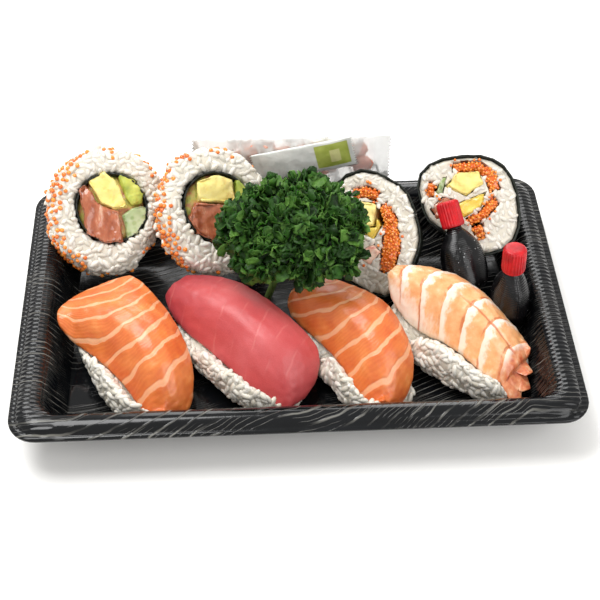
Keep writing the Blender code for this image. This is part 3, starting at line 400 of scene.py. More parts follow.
def placeCamera(view):
    yaw, down, roll = (math.radians(view[key]) for key in ("yaw", "down", "roll"))
    ahead = Vector((math.sin(yaw) * math.cos(down), math.cos(yaw) * math.cos(down),
                    -math.sin(down)))
    level = Vector((math.cos(yaw), -math.sin(yaw), 0))
    up = level.cross(ahead)
    right = level * math.cos(roll) + up * math.sin(roll)
    top = up * math.cos(roll) - level * math.sin(roll)
    camera = bpy.data.cameras.new("camera")
    camera.sensor_width = 36
    camera.lens = view["lens"]
    holder = bpy.data.objects.new("camera", camera)
    scene.collection.objects.link(holder)
    turn = Matrix((right, top, -ahead)).transposed().to_4x4()
    holder.matrix_world = Matrix.Translation(Vector(view["position"]) * mm) @ turn
    scene.camera = holder


placeCamera(cameraView)
studio = {"floor": "#fbfaf8", "floorShade": "#e9e8e5", "floorHalf": 3.0, "world": 0.62,
          "air": (1.0, 0.99, 0.97, 1.0)}
lamps = {  # place and aim in metres, size in metres, power in watts
    "key": ((-0.30, 0.15, 0.75), (0, 0, 0), 0.45, 6.0),
    "fill": ((0.45, -0.45, 0.45), (0, 0, 0.02), 0.5, 2.6),
    "back": ((0.05, 0.60, 0.35), (0, 0, 0.02), 0.35, 1.6),
}


def areaLight(name, place, aim, size, power):
    lamp = bpy.data.lights.new(name, "AREA")
    lamp.size = size
    lamp.energy = power
    holder = bpy.data.objects.new(name, lamp)
    scene.collection.objects.link(holder)
    holder.location = place
    holder.rotation_euler = (Vector(aim) - Vector(place)).to_track_quat("-Z", "Y").to_euler()


def buildStudio(values):
    look = Finish("pale floor", 0.85)
    look.paint((look.grainy(3.0) * 0.12).blend(values["floor"], values["floorShade"]))
    bm = bmesh.new()
    bmesh.ops.create_grid(bm, x_segments=2, y_segments=2,
                          size=values["floorHalf"])
    floor = newPiece("floor", fromBmesh(bm, "floor"), look.material)
    world = bpy.data.worlds.new("studio")
    scene.world = world
    world.use_nodes = True
    background = world.node_tree.nodes["Background"]
    background.inputs["Color"].default_value = values["air"]
    background.inputs["Strength"].default_value = values["world"]
    for name, lamp in lamps.items():
        areaLight(name, *lamp)
    scene.view_settings.view_transform = "Standard"


buildStudio(studio)
print("camera and light placed")


# rice

riceLooks = {"pale": "#efe9dd", "middle": "#e4ddcf", "deep": "#cfc6b4", "grainLength": 5.4,
             "grainWidth": 2.5, "spacing": 2.15, "smallest": 0.8, "largest": 1.08, "sink": 0.62}
nigiriRice = {
    "riceSalmon1": ("salmon_nigiri_1_rice", "salmon_nigiri_1_salmon"),
    "riceTuna": ("tuna_nigiri_rice", "tuna_nigiri_tuna"),
    "riceSalmon2": ("salmon_nigiri_2_rice", "salmon_nigiri_2_salmon"),
    "ricePrawn": ("prawn_nigiri_rice", "prawn_nigiri_prawn"),
}
nigiriShape = {"swell": 1.8, "swellTop": 17, "swellFoot": 3, "lump": 0.9, "lumpSize": 4.0,
               "underSlice": 0.9}
riceMaterial = plainFinish("cooked rice", 0.38, (260, 3),
                           (0.15, riceLooks["deep"], 0.5, riceLooks["middle"],
                            0.9, riceLooks["pale"]), (0.00012, 0.5),
                           (0.22, 0.0022, (1.0, 0.85, 0.65)), (900, 3), tone=(0.55, 0.6),
                           Specular_IOR_Level=0.45)


def grainShape(values):
    bm = bmesh.new()
    bmesh.ops.create_uvsphere(bm, u_segments=8, v_segments=6, radius=1.0)
    half, wide = values["grainLength"] / 2 * mm, values["grainWidth"] / 2 * mm
    for vertex in bm.verts:
        x, y, z = vertex.co
        bend = (1 - z * z) * 0.18
        vertex.co = Vector((z * half, x * wide, (y + bend) * wide * 0.9))
    bmesh.ops.recalc_face_normals(bm, faces=bm.faces[:])
    return hiddenShape("grain", bm)


grain = grainShape(riceLooks)


def riceSizes(seed, **changes):
    values = {**riceLooks, **changes}
    return strewSizes(values["spacing"], 900000.0, seed, values["smallest"], values["largest"],
                      values["sink"], 0.3, True)


def treeOf(nodeName):
    mesh = cadNodes[nodeName].data
    return BVHTree.FromPolygons([v.co.copy() for v in mesh.vertices],
                                [tuple(p.vertices) for p in mesh.polygons])


def makeNigiriRice(shape):
    for index, (name, (rice, cover)) in enumerate(nigiriRice.items()):
        mesh = divided(merged(rice), 1, firm=1)
        topping = treeOf(cover)
        for vertex in mesh.vertices:  # pressed rice swells out below the slice
            low = max(0.0, 1 - vertex.co.z / (shape["swellTop"] * mm)) \
                * min(1.0, vertex.co.z / (shape["swellFoot"] * mm))
            way = Vector((vertex.normal.x, vertex.normal.y, 0))
            vertex.co += way * low * shape["swell"] * mm
        mesh.update()
        ruffle(mesh, shape["lump"] * mm, shape["lumpSize"] * mm, index * 3.1)

        def rule(place, normal):
            if normal.z < -0.55:
                return 0.0
            near = topping.find_nearest(place)[3] < shape["underSlice"] * mm
            hit = topping.ray_cast(place, Vector((0, 0, 1)), 0.004)[0]
            return 0.0 if near and hit is not None else 1.0

        setCover(mesh, rule)
        grains = strew(mesh, grain, riceMaterial, riceSizes(11 + index))
        newPiece(name, grains, riceMaterial, "rice", [rice])


makeNigiriRice(nigiriShape)
print("nigiri rice done")


# rolls: where each cut face lies and which way it looks

rolls = {
    "uramaki_1": {"foot": (-77.49, 52.06, 19.44), "faces": (0.181, -0.622, 0.762), "tall": 21},
    "uramaki_2": {"foot": (-36.64, 45.48, 23.86), "faces": (0.34, -0.58, 0.74), "tall": 21},
    "futomaki_1": {"foot": (40.43, 36.96, 15.77), "faces": (-0.321, -0.623, 0.713), "tall": 20},
    "futomaki_2": {"foot": (76.1, 48.4, 16.95), "faces": (-0.08, -0.62, 0.78), "tall": 20},
}
roeLooks = {"bright": "#f79a3c", "deep": "#dd6420", "radius": 0.98, "fine": 0.62}
uramakiRoe = {
    "uramaki_1": {"left": 1.0, "top": 0.75, "low": 0.1, "face": 0.03, "belly": 3.0},
    "uramaki_2": {"left": 1.0, "top": 0.7, "low": 0.08, "face": 0.03, "belly": 2.4},
}
uramakiShape = {"hole": 18, "edge": 22.0, "holeInward": 1.7, "outside": 19, "blend": 3,
                "fuller": 0.4, "fullerLeft": 1.3, "lump": 1.0, "lumpSize": 4.2}  # mm

roeMaterial = plainFinish("orange roe", 0.16, (700, 2),
                          (0.1, roeLooks["deep"], 0.85, roeLooks["bright"]), (0.00005, 0.4),
                          (0.3, 0.0015, (1.0, 0.4, 0.1)), tone=(0.7, 0.4), Coat_Weight=0.5,
                          Coat_Roughness=0.08)


def ballShape(name, radius):
    bm = bmesh.new()
    bmesh.ops.create_icosphere(bm, subdivisions=2, radius=radius * mm)
    return hiddenShape(name, bm)


roeBall = ballShape("roeBall", roeLooks["radius"])
roeSpeck = ballShape("roeSpeck", roeLooks["fine"])


def rollFrame(name):
    info = rolls[name]
    foot = Vector(info["foot"]) * mm
    faces = Vector(info["faces"]).normalized()
    return foot, faces, info["tall"] * mm


def fromAxis(place, foot, faces):  # height above a roll's foot, and the way out from its axis
    depth = (place - foot).dot(faces)
    return depth, (place - foot) - faces * depth


def makeUramaki(name, amounts, shape, seed):
    foot, faces, tall = rollFrame(name)
    mesh = divided(merged(name + "_rice"), 1)
    for vertex in mesh.vertices:  # fuller at the left and below, narrower hole
        depth, radial = fromAxis(vertex.co, foot, faces)
        way = radial.normalized()
        share = math.sin(math.pi * min(max(depth / tall, 0.0), 0.86))
        outer = min(max((radial.length - shape["outside"] * mm) / (shape["blend"] * mm), 0.0),
                    1.0)
        low = max(0.0, 0.2 - way.z) * amounts["belly"]
        vertex.co += way * outer * (shape["fuller"] + max(0.0, -way.x) * shape["fullerLeft"]
                                    + low * (0.5 + share)) * mm
        vertex.co -= way * (1 - outer) * shape["holeInward"] * mm
    mesh.update()
    ruffle(mesh, shape["lump"] * mm, shape["lumpSize"] * mm, seed)
    hole = shape["hole"] * mm

    def riceRule(place, normal):
        depth, radial = fromAxis(place, foot, faces)
        bare = normal.dot(faces) < 0.3 and radial.length < hole
        return 0.0 if depth < 1.5 * mm or bare else 1.0

    setCover(mesh, riceRule)
    grains = strew(mesh.copy(), grain, riceMaterial, riceSizes(30 + seed))
    newPiece(name + "_grains", grains, riceMaterial, "rice", [name + "_rice"])

    def roeRule(place, normal):
        depth, radial = fromAxis(place, foot, faces)
        if radial.length < hole or depth < 1 * mm:
            return 0.0
        way = radial.normalized()
        patch = noise.noise(place / (6 * mm) + Vector((seed, 0, 0)))
        edge = radial.length > shape["edge"] * mm and depth > tall - 3 * mm
        if normal.dot(faces) > 0.75 and not edge:
            return amounts["face"] * (2.5 if patch > 0.25 else 0.35)
        if way.x < -0.45:
            return amounts["left"] * (1.0 if patch > -0.3 else 0.25)
        if way.z > 0.2 or way.y > 0.5:
            return amounts["top"] * (1.0 if patch > 0.08 else 0.06)
        return amounts["low"] * (1.5 if patch > 0.15 else 0.2)

    setCover(mesh, roeRule)
    sizes = strewSizes(1.75, 700000.0, 50 + seed, 0.85, 1.08, -0.45, 1.0)
    newPiece(name + "_roe", strew(mesh, roeBall, roeMaterial, sizes), roeMaterial, "roe")


for number, (rollName, amounts) in enumerate(uramakiRoe.items()):
    makeUramaki(rollName, amounts, uramakiShape, 2 + number * 3)
print("rolls with rice outside done")


futomakiRice = {"lump": 0.35, "lumpSize": 3.0, "crust": 3.2, "spacing": 2.0, "smallest": 0.7,
                "largest": 0.98, "sink": 0.72}  # mm


def makeFutomakiRice(name, values, seed):
    foot, faces, tall = rollFrame(name)
    mesh = divided(merged(name + "_rice", False), 2, simple=True)
    ruffle(mesh, values["lump"] * mm, values["lumpSize"] * mm, seed,
           lambda place, normal: 1.0 if normal.dot(faces) > 0.6 else 0.0)

    def rule(place, normal):
        depth = (place - foot).dot(faces)
        return 1.0 if depth > tall - values["crust"] * mm and normal.dot(faces) > 0.55 else 0.0

    setCover(mesh, rule)
    grains = strew(mesh, grain, riceMaterial, riceSizes(60 + seed, **values))
    newPiece(name + "_grains", grains, riceMaterial, "rice", [name + "_rice"])


makeFutomakiRice("futomaki_1", futomakiRice, 3)
makeFutomakiRice("futomaki_2", futomakiRice, 9)
print("rolls with seaweed outside done")


def makeRoeHeaps():
    for index, name in enumerate(sorted(n for n in cadNodes if "_roe_" in n)):
        foot, faces, tall = rollFrame(name.split("_roe_")[0])
        mesh = divided(merged(name, False), 1, simple=True)
        setCover(mesh, lambda place, normal: 1.0 if normal.dot(faces) > 0.2
                 and (place - foot).dot(faces) > tall - 3 * mm else 0.0)
        sizes = strewSizes(0.95, 1500000.0, 80 + index, 0.85, 1.1, -0.1, 1.0, True)
        heap = strew(mesh, roeSpeck, roeMaterial, sizes)
        newPiece(name + "_eggs", heap, roeMaterial, "roe", [name])


def makeStrayRoe(name, seed):  # single eggs beside the heaps and a few over the rice
    foot, faces, tall = rollFrame(name)
    heaps = [treeOf(n) for n in sorted(cadNodes) if n.startswith(name + "_roe_")]
    mesh = divided(merged(name + "_rice", False), 3, simple=True)

    def rule(place, normal):
        if normal.dot(faces) < 0.5 or (place - foot).dot(faces) < tall - 3 * mm:
            return 0.0
        away = min(heap.find_nearest(place)[3] for heap in heaps)
        patch = noise.noise(place / (3 * mm) + Vector((seed, 0, 0)))
        return 0.7 if away < (1.6 + 1.8 * patch) * mm else 0.012

    setCover(mesh, rule)
    sizes = strewSizes(1.1, 1200000.0, 95 + seed, 0.85, 1.15, -0.5, 1.0)
    newPiece(name + "_strayRoe", strew(mesh, roeSpeck, roeMaterial, sizes), roeMaterial, "roe")


makeRoeHeaps()
makeStrayRoe("futomaki_1", 2)
makeStrayRoe("futomaki_2", 4)
print("roe done")


# fillings of the rolls

fillingLooks = {  # edge and lump in mm
    "tamago": {"edge": 0.9, "lump": 0.8},
    "takuan": {"edge": 1.0, "lump": 0.6},
    "avocado": {"edge": 1.2, "lump": 0.9},
    "cucumber": {"edge": 0.8, "lump": 0.35},
    "raw_salmon": {"edge": 1.2, "lump": 1.0},
    "crab": {"edge": 0.9, "lump": 0.6},
}
fillingKinds = {"tamago": "tamago", "takuan": "takuan", "avocado": "avocado",
                "cucumber": "cucumber", "salmon": "raw_salmon", "raw_fish": "raw_salmon",
                "crab": "crab"}
fillingShape = {"swell": 0.04, "lumpSize": 3.6, "fineShare": 0.35, "fineSize": 1.3}
mashFoot = [(12.5, 3.0), (13.8, 8.0)]  # radius and height in mm
mashTop = [(14.1, 3.5), (13.0, 2.6), (9.0, 2.3), (4.0, 2.2)]  # radius and depth below the top


def tamagoFinish():
    look = Finish("rolled omelette", 0.5)
    wave = look.wire("ShaderNodeTexWave", "Fac", {"Scale": 75.0, "Distortion": 5.0,
                                                  "Detail": 3.0, "Detail Scale": 2.2},
                     {"Vector": look.stretched((0.3, 1.0, 1.0), (0.4, 0.2, 0.3))})
    folds = wave.between(0.78, 0.98) * look.grainy(210, 2).between(0.42, 0.62)
    base = look.grainy(150, 3, 0.6).ramp(0.25, "#e6cf6b", 0.55, "#f1e08c", 0.8, "#f6eaa6")
    look.paint((folds * 0.5).blend(base, "#d0a243"))
    return look.done(look.grainy(1100, 2) - folds, (0.00022, 0.6), (0.15, 0.0015, (1.0, 0.8, 0.3)))


def cucumberFinish():
    look = Finish("cucumber", 0.25, Coat_Weight=0.3)
    seeds = look.cells(420).between(0.25, 0.55)
    flesh = look.grainy(110, 3).ramp(0.3, "#4f6b33", 0.5, "#93a868", 0.75, "#d5dbb0")
    look.paint((seeds * 0.25).blend(flesh, "#e7ebcd"))
    return look.done(seeds, (0.00015, 0.5), (0.25, 0.002, (0.8, 1.0, 0.5)))


def rawSalmonFinish():
    look = Finish("marinated salmon", 0.22, Coat_Weight=0.45, Coat_Roughness=0.12)
    streaks = look.grainy(1.0, 4, 0.6, look.stretched((260, 90, 90), (0.3, 0.4, 0.8)))
    look.paint(streaks.ramp(0.25, "#8a4329", 0.46, "#ad6242", 0.56, "#bb7455",
                            0.66, "#e2b79c"))
    return look.done(streaks + look.grainy(700, 2), (0.0002, 0.7), (0.25, 0.0025, (1.0, 0.35, 0.2)))


fillingFinishes = {
    "tamago": tamagoFinish(),
    "takuan": plainFinish("pickled radish", 0.25, (220, 4, 0.6),
                          (0.3, "#d9b43c", 0.6, "#ead063", 0.85, "#f4e392"), (0.0001, 0.6),
                          (0.25, 0.002, (1.0, 0.8, 0.2)), (900, 3), Coat_Weight=0.25),
    "avocado": plainFinish("avocado", 0.42, (130, 3, 0.55),
                           (0.28, "#6f8f2f", 0.5, "#b9c052", 0.75, "#e0d96b"), (0.00015, 0.6),
                           (0.15, 0.0015, (0.9, 1.0, 0.3)), (800, 3)),
    "cucumber": cucumberFinish(),
    "raw_salmon": rawSalmonFinish(),
    "crab": plainFinish("crab stick", 0.35, (1.0, 3, 0.6),
                        (0.3, "#d8706a", 0.45, "#efc2ab", 0.7, "#f6e3d2"), (0.0003, 0.7),
                        (0.2, 0.0015, (1.0, 0.6, 0.5)),
                        stretch=((150, 380, 150), (0.4, 0.2, 0.6))),
}
mashMaterial = plainFinish("mixed filling", 0.35, (240, 3, 0.6),
                           (0.3, "#7d8c3a", 0.45, "#c2bd5c", 0.6, "#c9875c", 0.8, "#93522f"),
                           (0.0003, 0.8), (0.2, 0.002, (1.0, 0.6, 0.3)), (700, 3))


def makeFillings(shape):
    for name in sorted(cadNodes):
        if not name.startswith(("uramaki", "futomaki")):
            continue
        kind = fillingKinds.get(name.split("_", 2)[2])
        if kind is None:
            continue
        looks = fillingLooks[kind]
        mesh = divided(merged(name, False), 3, simple=True, bevel=looks["edge"] * mm)
        if name.startswith("uramaki"):  # fills the hole up to the seaweed
            foot, faces, _ = rollFrame(name.rsplit("_", 1)[0])
            for vertex in mesh.vertices:
                vertex.co += fromAxis(vertex.co, foot, faces)[1] * shape["swell"]
        ruffle(mesh, looks["lump"] * mm, shape["lumpSize"] * mm, len(name) * 1.7)
        ruffle(mesh, looks["lump"] * shape["fineShare"] * mm, shape["fineSize"] * mm,
               len(name) * 0.9)
        newPiece(name + "_soft", mesh, fillingFinishes[kind], kind, [name])


def makeMash(name, seed):  # soft bed between the pieces in the hole
    foot, faces, tall = rollFrame(name)
    side = faces.orthogonal().normalized()
    other = faces.cross(side)
    rings = []
    for wide, height in mashFoot + [(wide, tall / mm - below) for wide, below in mashTop]:
        rings.append([foot + (faces * height + (side * math.cos(a) + other * math.sin(a))
                              * wide) * mm for a in circle(72)])
    mesh = divided(fromBmesh(loft(rings), name + "Mash"), 1)
    ruffle(mesh, 1.3 * mm, 3.0 * mm, seed,
           lambda place, normal: 1.0 if normal.dot(faces) > 0.6 else 0.0)
    newPiece(name + "_mash", mesh, mashMaterial, "avocado")


makeFillings(fillingShape)
makeMash("uramaki_1", 1.5)
makeMash("uramaki_2", 6.5)
print("fillings done")


# seaweed

noriLooks = {"dark": "#0c0f0b", "green": "#20281c", "wrinkle": 0.25, "wrinkleSize": 2.6,
             "inward": 1.75, "tearSize": 2.2, "tearHeight": 4}


def noriFinish(values):
    look = Finish("seaweed sheet", 0.42, Specular_IOR_Level=0.35)
    fibre = look.grainy(1.0, 4, 0.65, look.stretched((500, 500, 1400)))
    look.paint(fibre.ramp(0.35, values["dark"], 0.75, values["green"]),
               fibre.between(0.3, 0.7, 0.3, 0.6))
    return look.done(fibre + look.grainy(130, 3), (0.0004, 0.7))


def makeNori(values):
    material = noriFinish(values)
    for index, name in enumerate(sorted(n for n in cadNodes if n.endswith("_nori"))):
        mesh = divided(merged(name, False), 3, simple=True)
        if name.startswith("uramaki"):
            foot, faces, tall = rollFrame(name.rsplit("_", 1)[0])
            for vertex in mesh.vertices:  # drawn in with the hole, ragged at the cut
                depth, radial = fromAxis(vertex.co, foot, faces)
                torn = noise.noise(radial / (values["tearSize"] * mm)) \
                    * max(0.0, depth / tall - 0.8) * values["tearHeight"]
                vertex.co -= radial.normalized() * values["inward"] * mm - faces * torn * mm
            mesh.update()
        ruffle(mesh, values["wrinkle"] * mm, values["wrinkleSize"] * mm, index * 2.3)
        newPiece(name + "_sheet", mesh, material, "nori", [name])


makeNori(noriLooks)
print("seaweed done")


# slices on the nigiri

slices = {
    "salmon_nigiri_1_salmon": {"place": (-62.6, -23.7), "turn": 25, "back": 3.5},
    "salmon_nigiri_2_salmon": {"place": (24.8, -24.3), "turn": 20.3, "back": 3.4},
    "tuna_nigiri_tuna": {"place": (-22.2, -24.3), "turn": 36.5, "back": 4.1},
    "prawn_nigiri_prawn": {"place": (65.3, -19.8), "turn": 45.1, "back": 3.4},
}
salmonLooks = {"flesh": "#e07c3c", "deep": "#cf6330", "fat": "#efb084", "lineHalf": 0.085,
               "lineSlope": -0.06}
tunaLooks = {"flesh": "#c24c4d", "deep": "#a4373f", "pale": "#d1686a"}
prawnLooks = {"tan": "#f1b47e", "pale": "#faeadb", "line": "#c8683c", "segment": 0.98}


def salmonFinish(values):
    look = Finish("salmon slice", 0.36, Coat_Weight=0.12, Coat_Roughness=0.2)
    uv = look.uvMap("sliceMap")  # u across and v along, both in cm
    across, along, _ = look.axes(uv)
    warp = (look.grainy(0.9, 2, at=uv) - 0.5) * 0.55
    lean = along + (abs(across) ** 2.0 * -0.36 + across * values["lineSlope"])
    distance = 3.45 - (lean + warp)
    grown = distance.math("LOGARITHM", distance + 9.6, math.e)
    phase = grown * 16.0 - 36.5
    near = abs((phase + 0.5).fraction() - 0.5)
    wide = look.grainy(1.7, 1, at=uv) * (values["lineHalf"] * 0.9) + values["lineHalf"] * 0.55
    line = (near / wide).between(1.45, 0.75) * along.between(-2.6, -2.35)
    fibres = (phase * 38.0).sine()
    share = look.grainy(120, 3) + fibres * 0.035
    flesh = share.ramp(0.3, values["deep"], 0.62, values["flesh"], 0.85, "#ee9a58")
    look.paint((line * 0.88).blend(flesh, values["fat"]))
    return look.done(line * -0.5 + (fibres * 0.08 + look.grainy(1300, 3, 0.6) * 0.35),
                     (0.00028, 0.7), (0.22, 0.0022, (1.0, 0.35, 0.15)))


def tunaFinish(values):
    look = Finish("tuna slice", 0.42, Coat_Weight=0.06, Coat_Roughness=0.25)
    uv = look.uvMap("sliceMap")
    across, along, _ = look.axes(uv)
    phase = ((along + across * -0.55) + look.grainy(0.7, 2, at=uv) * 0.5) * 1.05
    near = abs(phase.fraction() - 0.5)
    line = near.between(0.07, 0.01) * look.grainy(1.1, 1, at=uv).between(0.42, 0.62)
    speckle = look.grainy(2200, 2, 0.7)
    share = look.grainy(0.55, 3, at=uv) * 0.8 + speckle * 0.3 - along.between(1.2, 3.6) * 0.25
    flesh = share.ramp(0.2, values["deep"], 0.52, values["flesh"], 0.85, values["pale"])
    look.paint((line * 0.25).blend(flesh, "#dd8a82"))
    return look.done(speckle + line * -0.6, (0.00018, 0.6), (0.2, 0.002, (1.0, 0.25, 0.2)))


def prawnPhase(along, across):  # where the relief has its segments, as in the shader below
    side = abs(across - 0.62)
    return along * prawnLooks["segment"] + 0.3 * side + 0.42 * (side - 0.6) ** 2 - 0.08


def prawnFinish(values):
    look = Finish("cooked prawn", 0.3, Coat_Weight=0.25, Coat_Roughness=0.2)
    uv = look.uvMap("sliceMap")
    across, along, _ = look.axes(uv)
    warp = (look.grainy(1.5, 3, at=uv) - 0.5) * 0.34
    side = abs(across - 0.62)
    curve = side * 0.3 + (side - 0.6) ** 2.0 * 0.42
    phase = along * values["segment"] + (curve + (warp - 0.08))
    step = (phase + 20.0).fraction()
    patchy = (look.grainy(3.4, 3, 0.6, uv) - 0.5) * 0.9
    pale = (step + patchy).between(0.60, 0.86).largest((side + patchy).between(1.0, 1.5))
    seam = abs(step - 0.06).between(0.075, 0.02) * look.grainy(2.3, 2, at=uv).between(0.38, 0.58)
    middle = (side + warp * 0.5).between(0.075, 0.02) * along.between(0.9, -0.3)
    cloud = look.grainy(260, 4, 0.6)
    flesh = cloud.ramp(0.28, "#e69a5e", 0.55, values["tan"], 0.8, "#f7cfa6")
    colour = (pale * 0.85).blend(flesh, values["pale"])
    colour = (seam.largest(middle) * 0.75).blend(colour, values["line"])
    ends = look.grainy(3.5, 3, at=uv).ramp(0.3, "#b8492a", 0.55, "#dd8a5c", 0.8, "#f3c9a3")
    look.paint(along.between(-2.05, -2.45).blend(colour, ends))
    return look.done(cloud * 0.7 - seam, (0.00028, 0.7), (0.25, 0.002, (1.0, 0.6, 0.4)))


sliceFinishes = {"salmon": salmonFinish(salmonLooks), "tuna": tunaFinish(tunaLooks),
                 "prawn": prawnFinish(prawnLooks)}


def makeSlices():
    for name, info in slices.items():
        kind = name.rsplit("_", 1)[1]
        mesh = divided(merged(name), 2, firm=1)
        turn = math.radians(info["turn"])
        acrossWay = Vector((math.cos(turn), math.sin(turn)))
        alongWay = Vector((-math.sin(turn), math.cos(turn)))
        middle = Vector(info["place"]) * mm
        flat = [((v.co.xy - middle).dot(acrossWay) / (10 * mm),
                 (v.co.xy - middle).dot(alongWay) / (10 * mm)) for v in mesh.vertices]
        heights = []
        for vertex, (across, along) in zip(mesh.vertices, flat):
            rise = 0.0
            if kind == "prawn" and along > -2.2:
                step = prawnPhase(along, across) % 1.0
                groove = math.exp(-((across - 0.62) / 0.07) ** 2) * (1 if along < 0.6 else 0.2)
                rise = 0.75 * (step - 0.5) * min(1.0, (1 - step) * 6) - 0.55 * groove
            elif kind != "prawn":
                rise = 0.25 * noise.noise(Vector((across, along, 0)) * 1.3)
            heights.append(max(0.0, vertex.normal.z) * rise * mm)
        normals = [v.normal.copy() for v in mesh.vertices]
        for vertex, normal, rise in zip(mesh.vertices, normals, heights):
            vertex.co += normal * rise
        layer = mesh.uv_layers.new(name="sliceMap")
        for loop in mesh.loops:
            layer.data[loop.index].uv = flat[loop.vertex_index]
        for face in mesh.polygons:
            face.use_smooth = True
        ruffle(mesh, 0.22 * mm, 2.4 * mm, info["turn"])
        newPiece(name + "_slice", mesh, sliceFinishes[kind], kind, [name])


makeSlices()
print("slices done")


# parsley

parsleyLooks = {"dark": "#12260b", "middle": "#2c5219", "light": "#6a9440", "stem": "#86a05a",
                "leafLength": 6.0, "thick": 0.22, "spacing": 1.6, "seed": 5,
                "outerInset": 0.5, "innerInset": 2.6, "insideSpacing": 1.75, "smallest": 0.6,
                "largest": 1.1, "sink": 0.8, "tilt": 1.1}
parsleyClusters = [
    ((7, 17, 56), (0.1, -0.1, 1), 11), ((-9, 20, 53), (-0.4, 0.1, 0.9), 10),
    ((-20, 9, 52), (-0.7, -0.2, 0.7), 10), ((-14, -2, 47), (-0.5, -0.7, 0.6), 10),
    ((0, 2, 55), (-0.1, -0.5, 0.9), 11), ((18, 12, 53), (0.6, -0.1, 0.8), 11),
    ((17, -4, 48), (0.5, -0.6, 0.6), 9), ((4, -7, 47), (0, -0.9, 0.4), 9),
]


def leafletShape(values):  # thin curled leaf with a toothed edge, closed underneath
    bm = bmesh.new()
    length = values["leafLength"] * mm
    across = (-1.0, -0.3, 0.3, 1.0)
    rows = []
    for i in range(5):
        t = i / 4
        half = length * 0.40 * math.sin(math.pi * (0.12 + 0.80 * t)) * (1.15 if i % 2 else 0.78)
        curl = length * (0.34 * t * t - 0.1 * t)
        row = []
        for a in across:
            x = half * a
            z = curl + abs(a) * half * 0.5 + 0.1 * length * math.sin(5 * t + 2.5 * a)
            row.append(Vector((x, t * length, z)))
        rows.append(row)
    thick = Vector((0, 0, values["thick"] * mm))
    top = [[bm.verts.new(p + thick) for p in row] for row in rows]
    low = [[bm.verts.new(p) for p in row] for row in rows]
    for i in range(4):
        for j in range(3):
            bm.faces.new((top[i][j], top[i][j + 1], top[i + 1][j + 1], top[i + 1][j]))
            bm.faces.new((low[i][j], low[i + 1][j], low[i + 1][j + 1], low[i][j + 1]))
    rim = [(0, j) for j in range(4)] + [(i, 3) for i in range(1, 5)]
    rim += [(4, j) for j in (2, 1, 0)] + [(i, 0) for i in (3, 2, 1)]
    for (a, b), (c, d) in zip(rim, rim[1:] + rim[:1]):
        bm.faces.new((top[a][b], low[a][b], low[c][d], top[c][d]))
    bmesh.ops.recalc_face_normals(bm, faces=bm.faces[:])
    return hiddenShape("leaflet", bm)


def tube(start, bend, end, thickStart, thickEnd, steps=10, sides=10):
    rings = []
    for i in range(steps + 1):
        t = i / steps
        here = start.lerp(bend, t).lerp(bend.lerp(end, t), t)
        ahead = (bend - start).lerp(end - bend, t).normalized()
        side = ahead.orthogonal().normalized()
        other = ahead.cross(side)
        wide = thickStart + (thickEnd - thickStart) * t
        rings.append([here + (side * math.cos(a) + other * math.sin(a)) * wide
                      * (1 + 0.08 * math.cos(5 * a)) for a in circle(sides)])
    return rings


def parsleyCore():  # lumpy flattened balls that carry the leaves
    bm = bmesh.new()
    for centre, facing, radius in parsleyClusters:
        middle = Vector(centre) * mm
        way = Vector(facing).normalized()
        part = bmesh.new()
        bmesh.ops.create_icosphere(part, subdivisions=3, radius=radius * 1.05 * mm)
        for vertex in part.verts:
            up = vertex.co.dot(way)
            vertex.co -= way * up * 0.42
            vertex.co *= 1 + 0.22 * noise.noise(vertex.co / (4 * mm) + middle * 100)
            vertex.co += Vector((middle.x * 1.1, middle.y * 1.06, middle.z)) \
                - way * radius * 0.22 * mm
        bm.from_mesh(fromBmesh(part, "part"))
    core = fromBmesh(bm, "core")
    setCover(core, lambda place, normal: 1.0 if noise.noise(place / (5 * mm)) > -0.42 else 0.45)
    return core


def makeParsley(values):
    leafMaterial = plainFinish("curly parsley", 0.5, (320, 3),
                               (0.22, values["dark"], 0.6, values["middle"],
                                0.98, values["light"]), (0.0002, 0.7),
                               (0.12, 0.001, (0.5, 1.0, 0.3)), (1500, 2), tone=(0.55, 0.55),
                               Specular_IOR_Level=0.25)
    leaflet = leafletShape(values)
    core = parsleyCore()
    inner = core.copy()
    for vertex in core.vertices:
        vertex.co -= vertex.normal * values["outerInset"] * mm
    for vertex in inner.vertices:  # the surface that carries the leaves stays deep inside
        vertex.co -= vertex.normal * values["innerInset"] * mm
    sizes = strewSizes(values["spacing"], 900000.0, values["seed"], values["smallest"],
                       values["largest"], values["sink"], values["tilt"])
    leaves = strew(core, leaflet, leafMaterial, sizes)
    newPiece("parsleyLeaves", leaves, leafMaterial, "parsley", ["parsley"])
    sizes.update({"Seed": values["seed"] + 1, "Spacing": values["insideSpacing"] * mm,
                  "Keep Surface": True})
    newPiece("parsleyInside", strew(inner, leaflet, leafMaterial, sizes), leafMaterial,
             "parsley")
    stemMaterial = plainFinish("parsley stem", 0.4, (1.0, 2),
                               (0.3, "#5f7d38", 0.7, values["stem"]), (0.0002, 0.6),
                               stretch=((900, 900, 120),))
    stems = bmesh.new()
    foot, fork = Vector((-10.5, 16, 1.4)) * mm, Vector((-2, 9, 34)) * mm
    ways = [(foot, fork, 1.5, 1.3)]
    ways += [(fork, Vector(cluster[0]) * mm, 1.1, 0.6) for cluster in parsleyClusters]
    for start, end, wide, thin in ways:
        bend = start.lerp(end, 0.5) + Vector((0, 0, 2 * mm))
        stems.from_mesh(fromBmesh(loft(tube(start, bend, end, wide * mm, thin * mm)), "stem"))
    newPiece("parsleyStem", fromBmesh(stems, "stems"), stemMaterial, "parsley")


makeParsley(parsleyLooks)
print("parsley done")


# tray

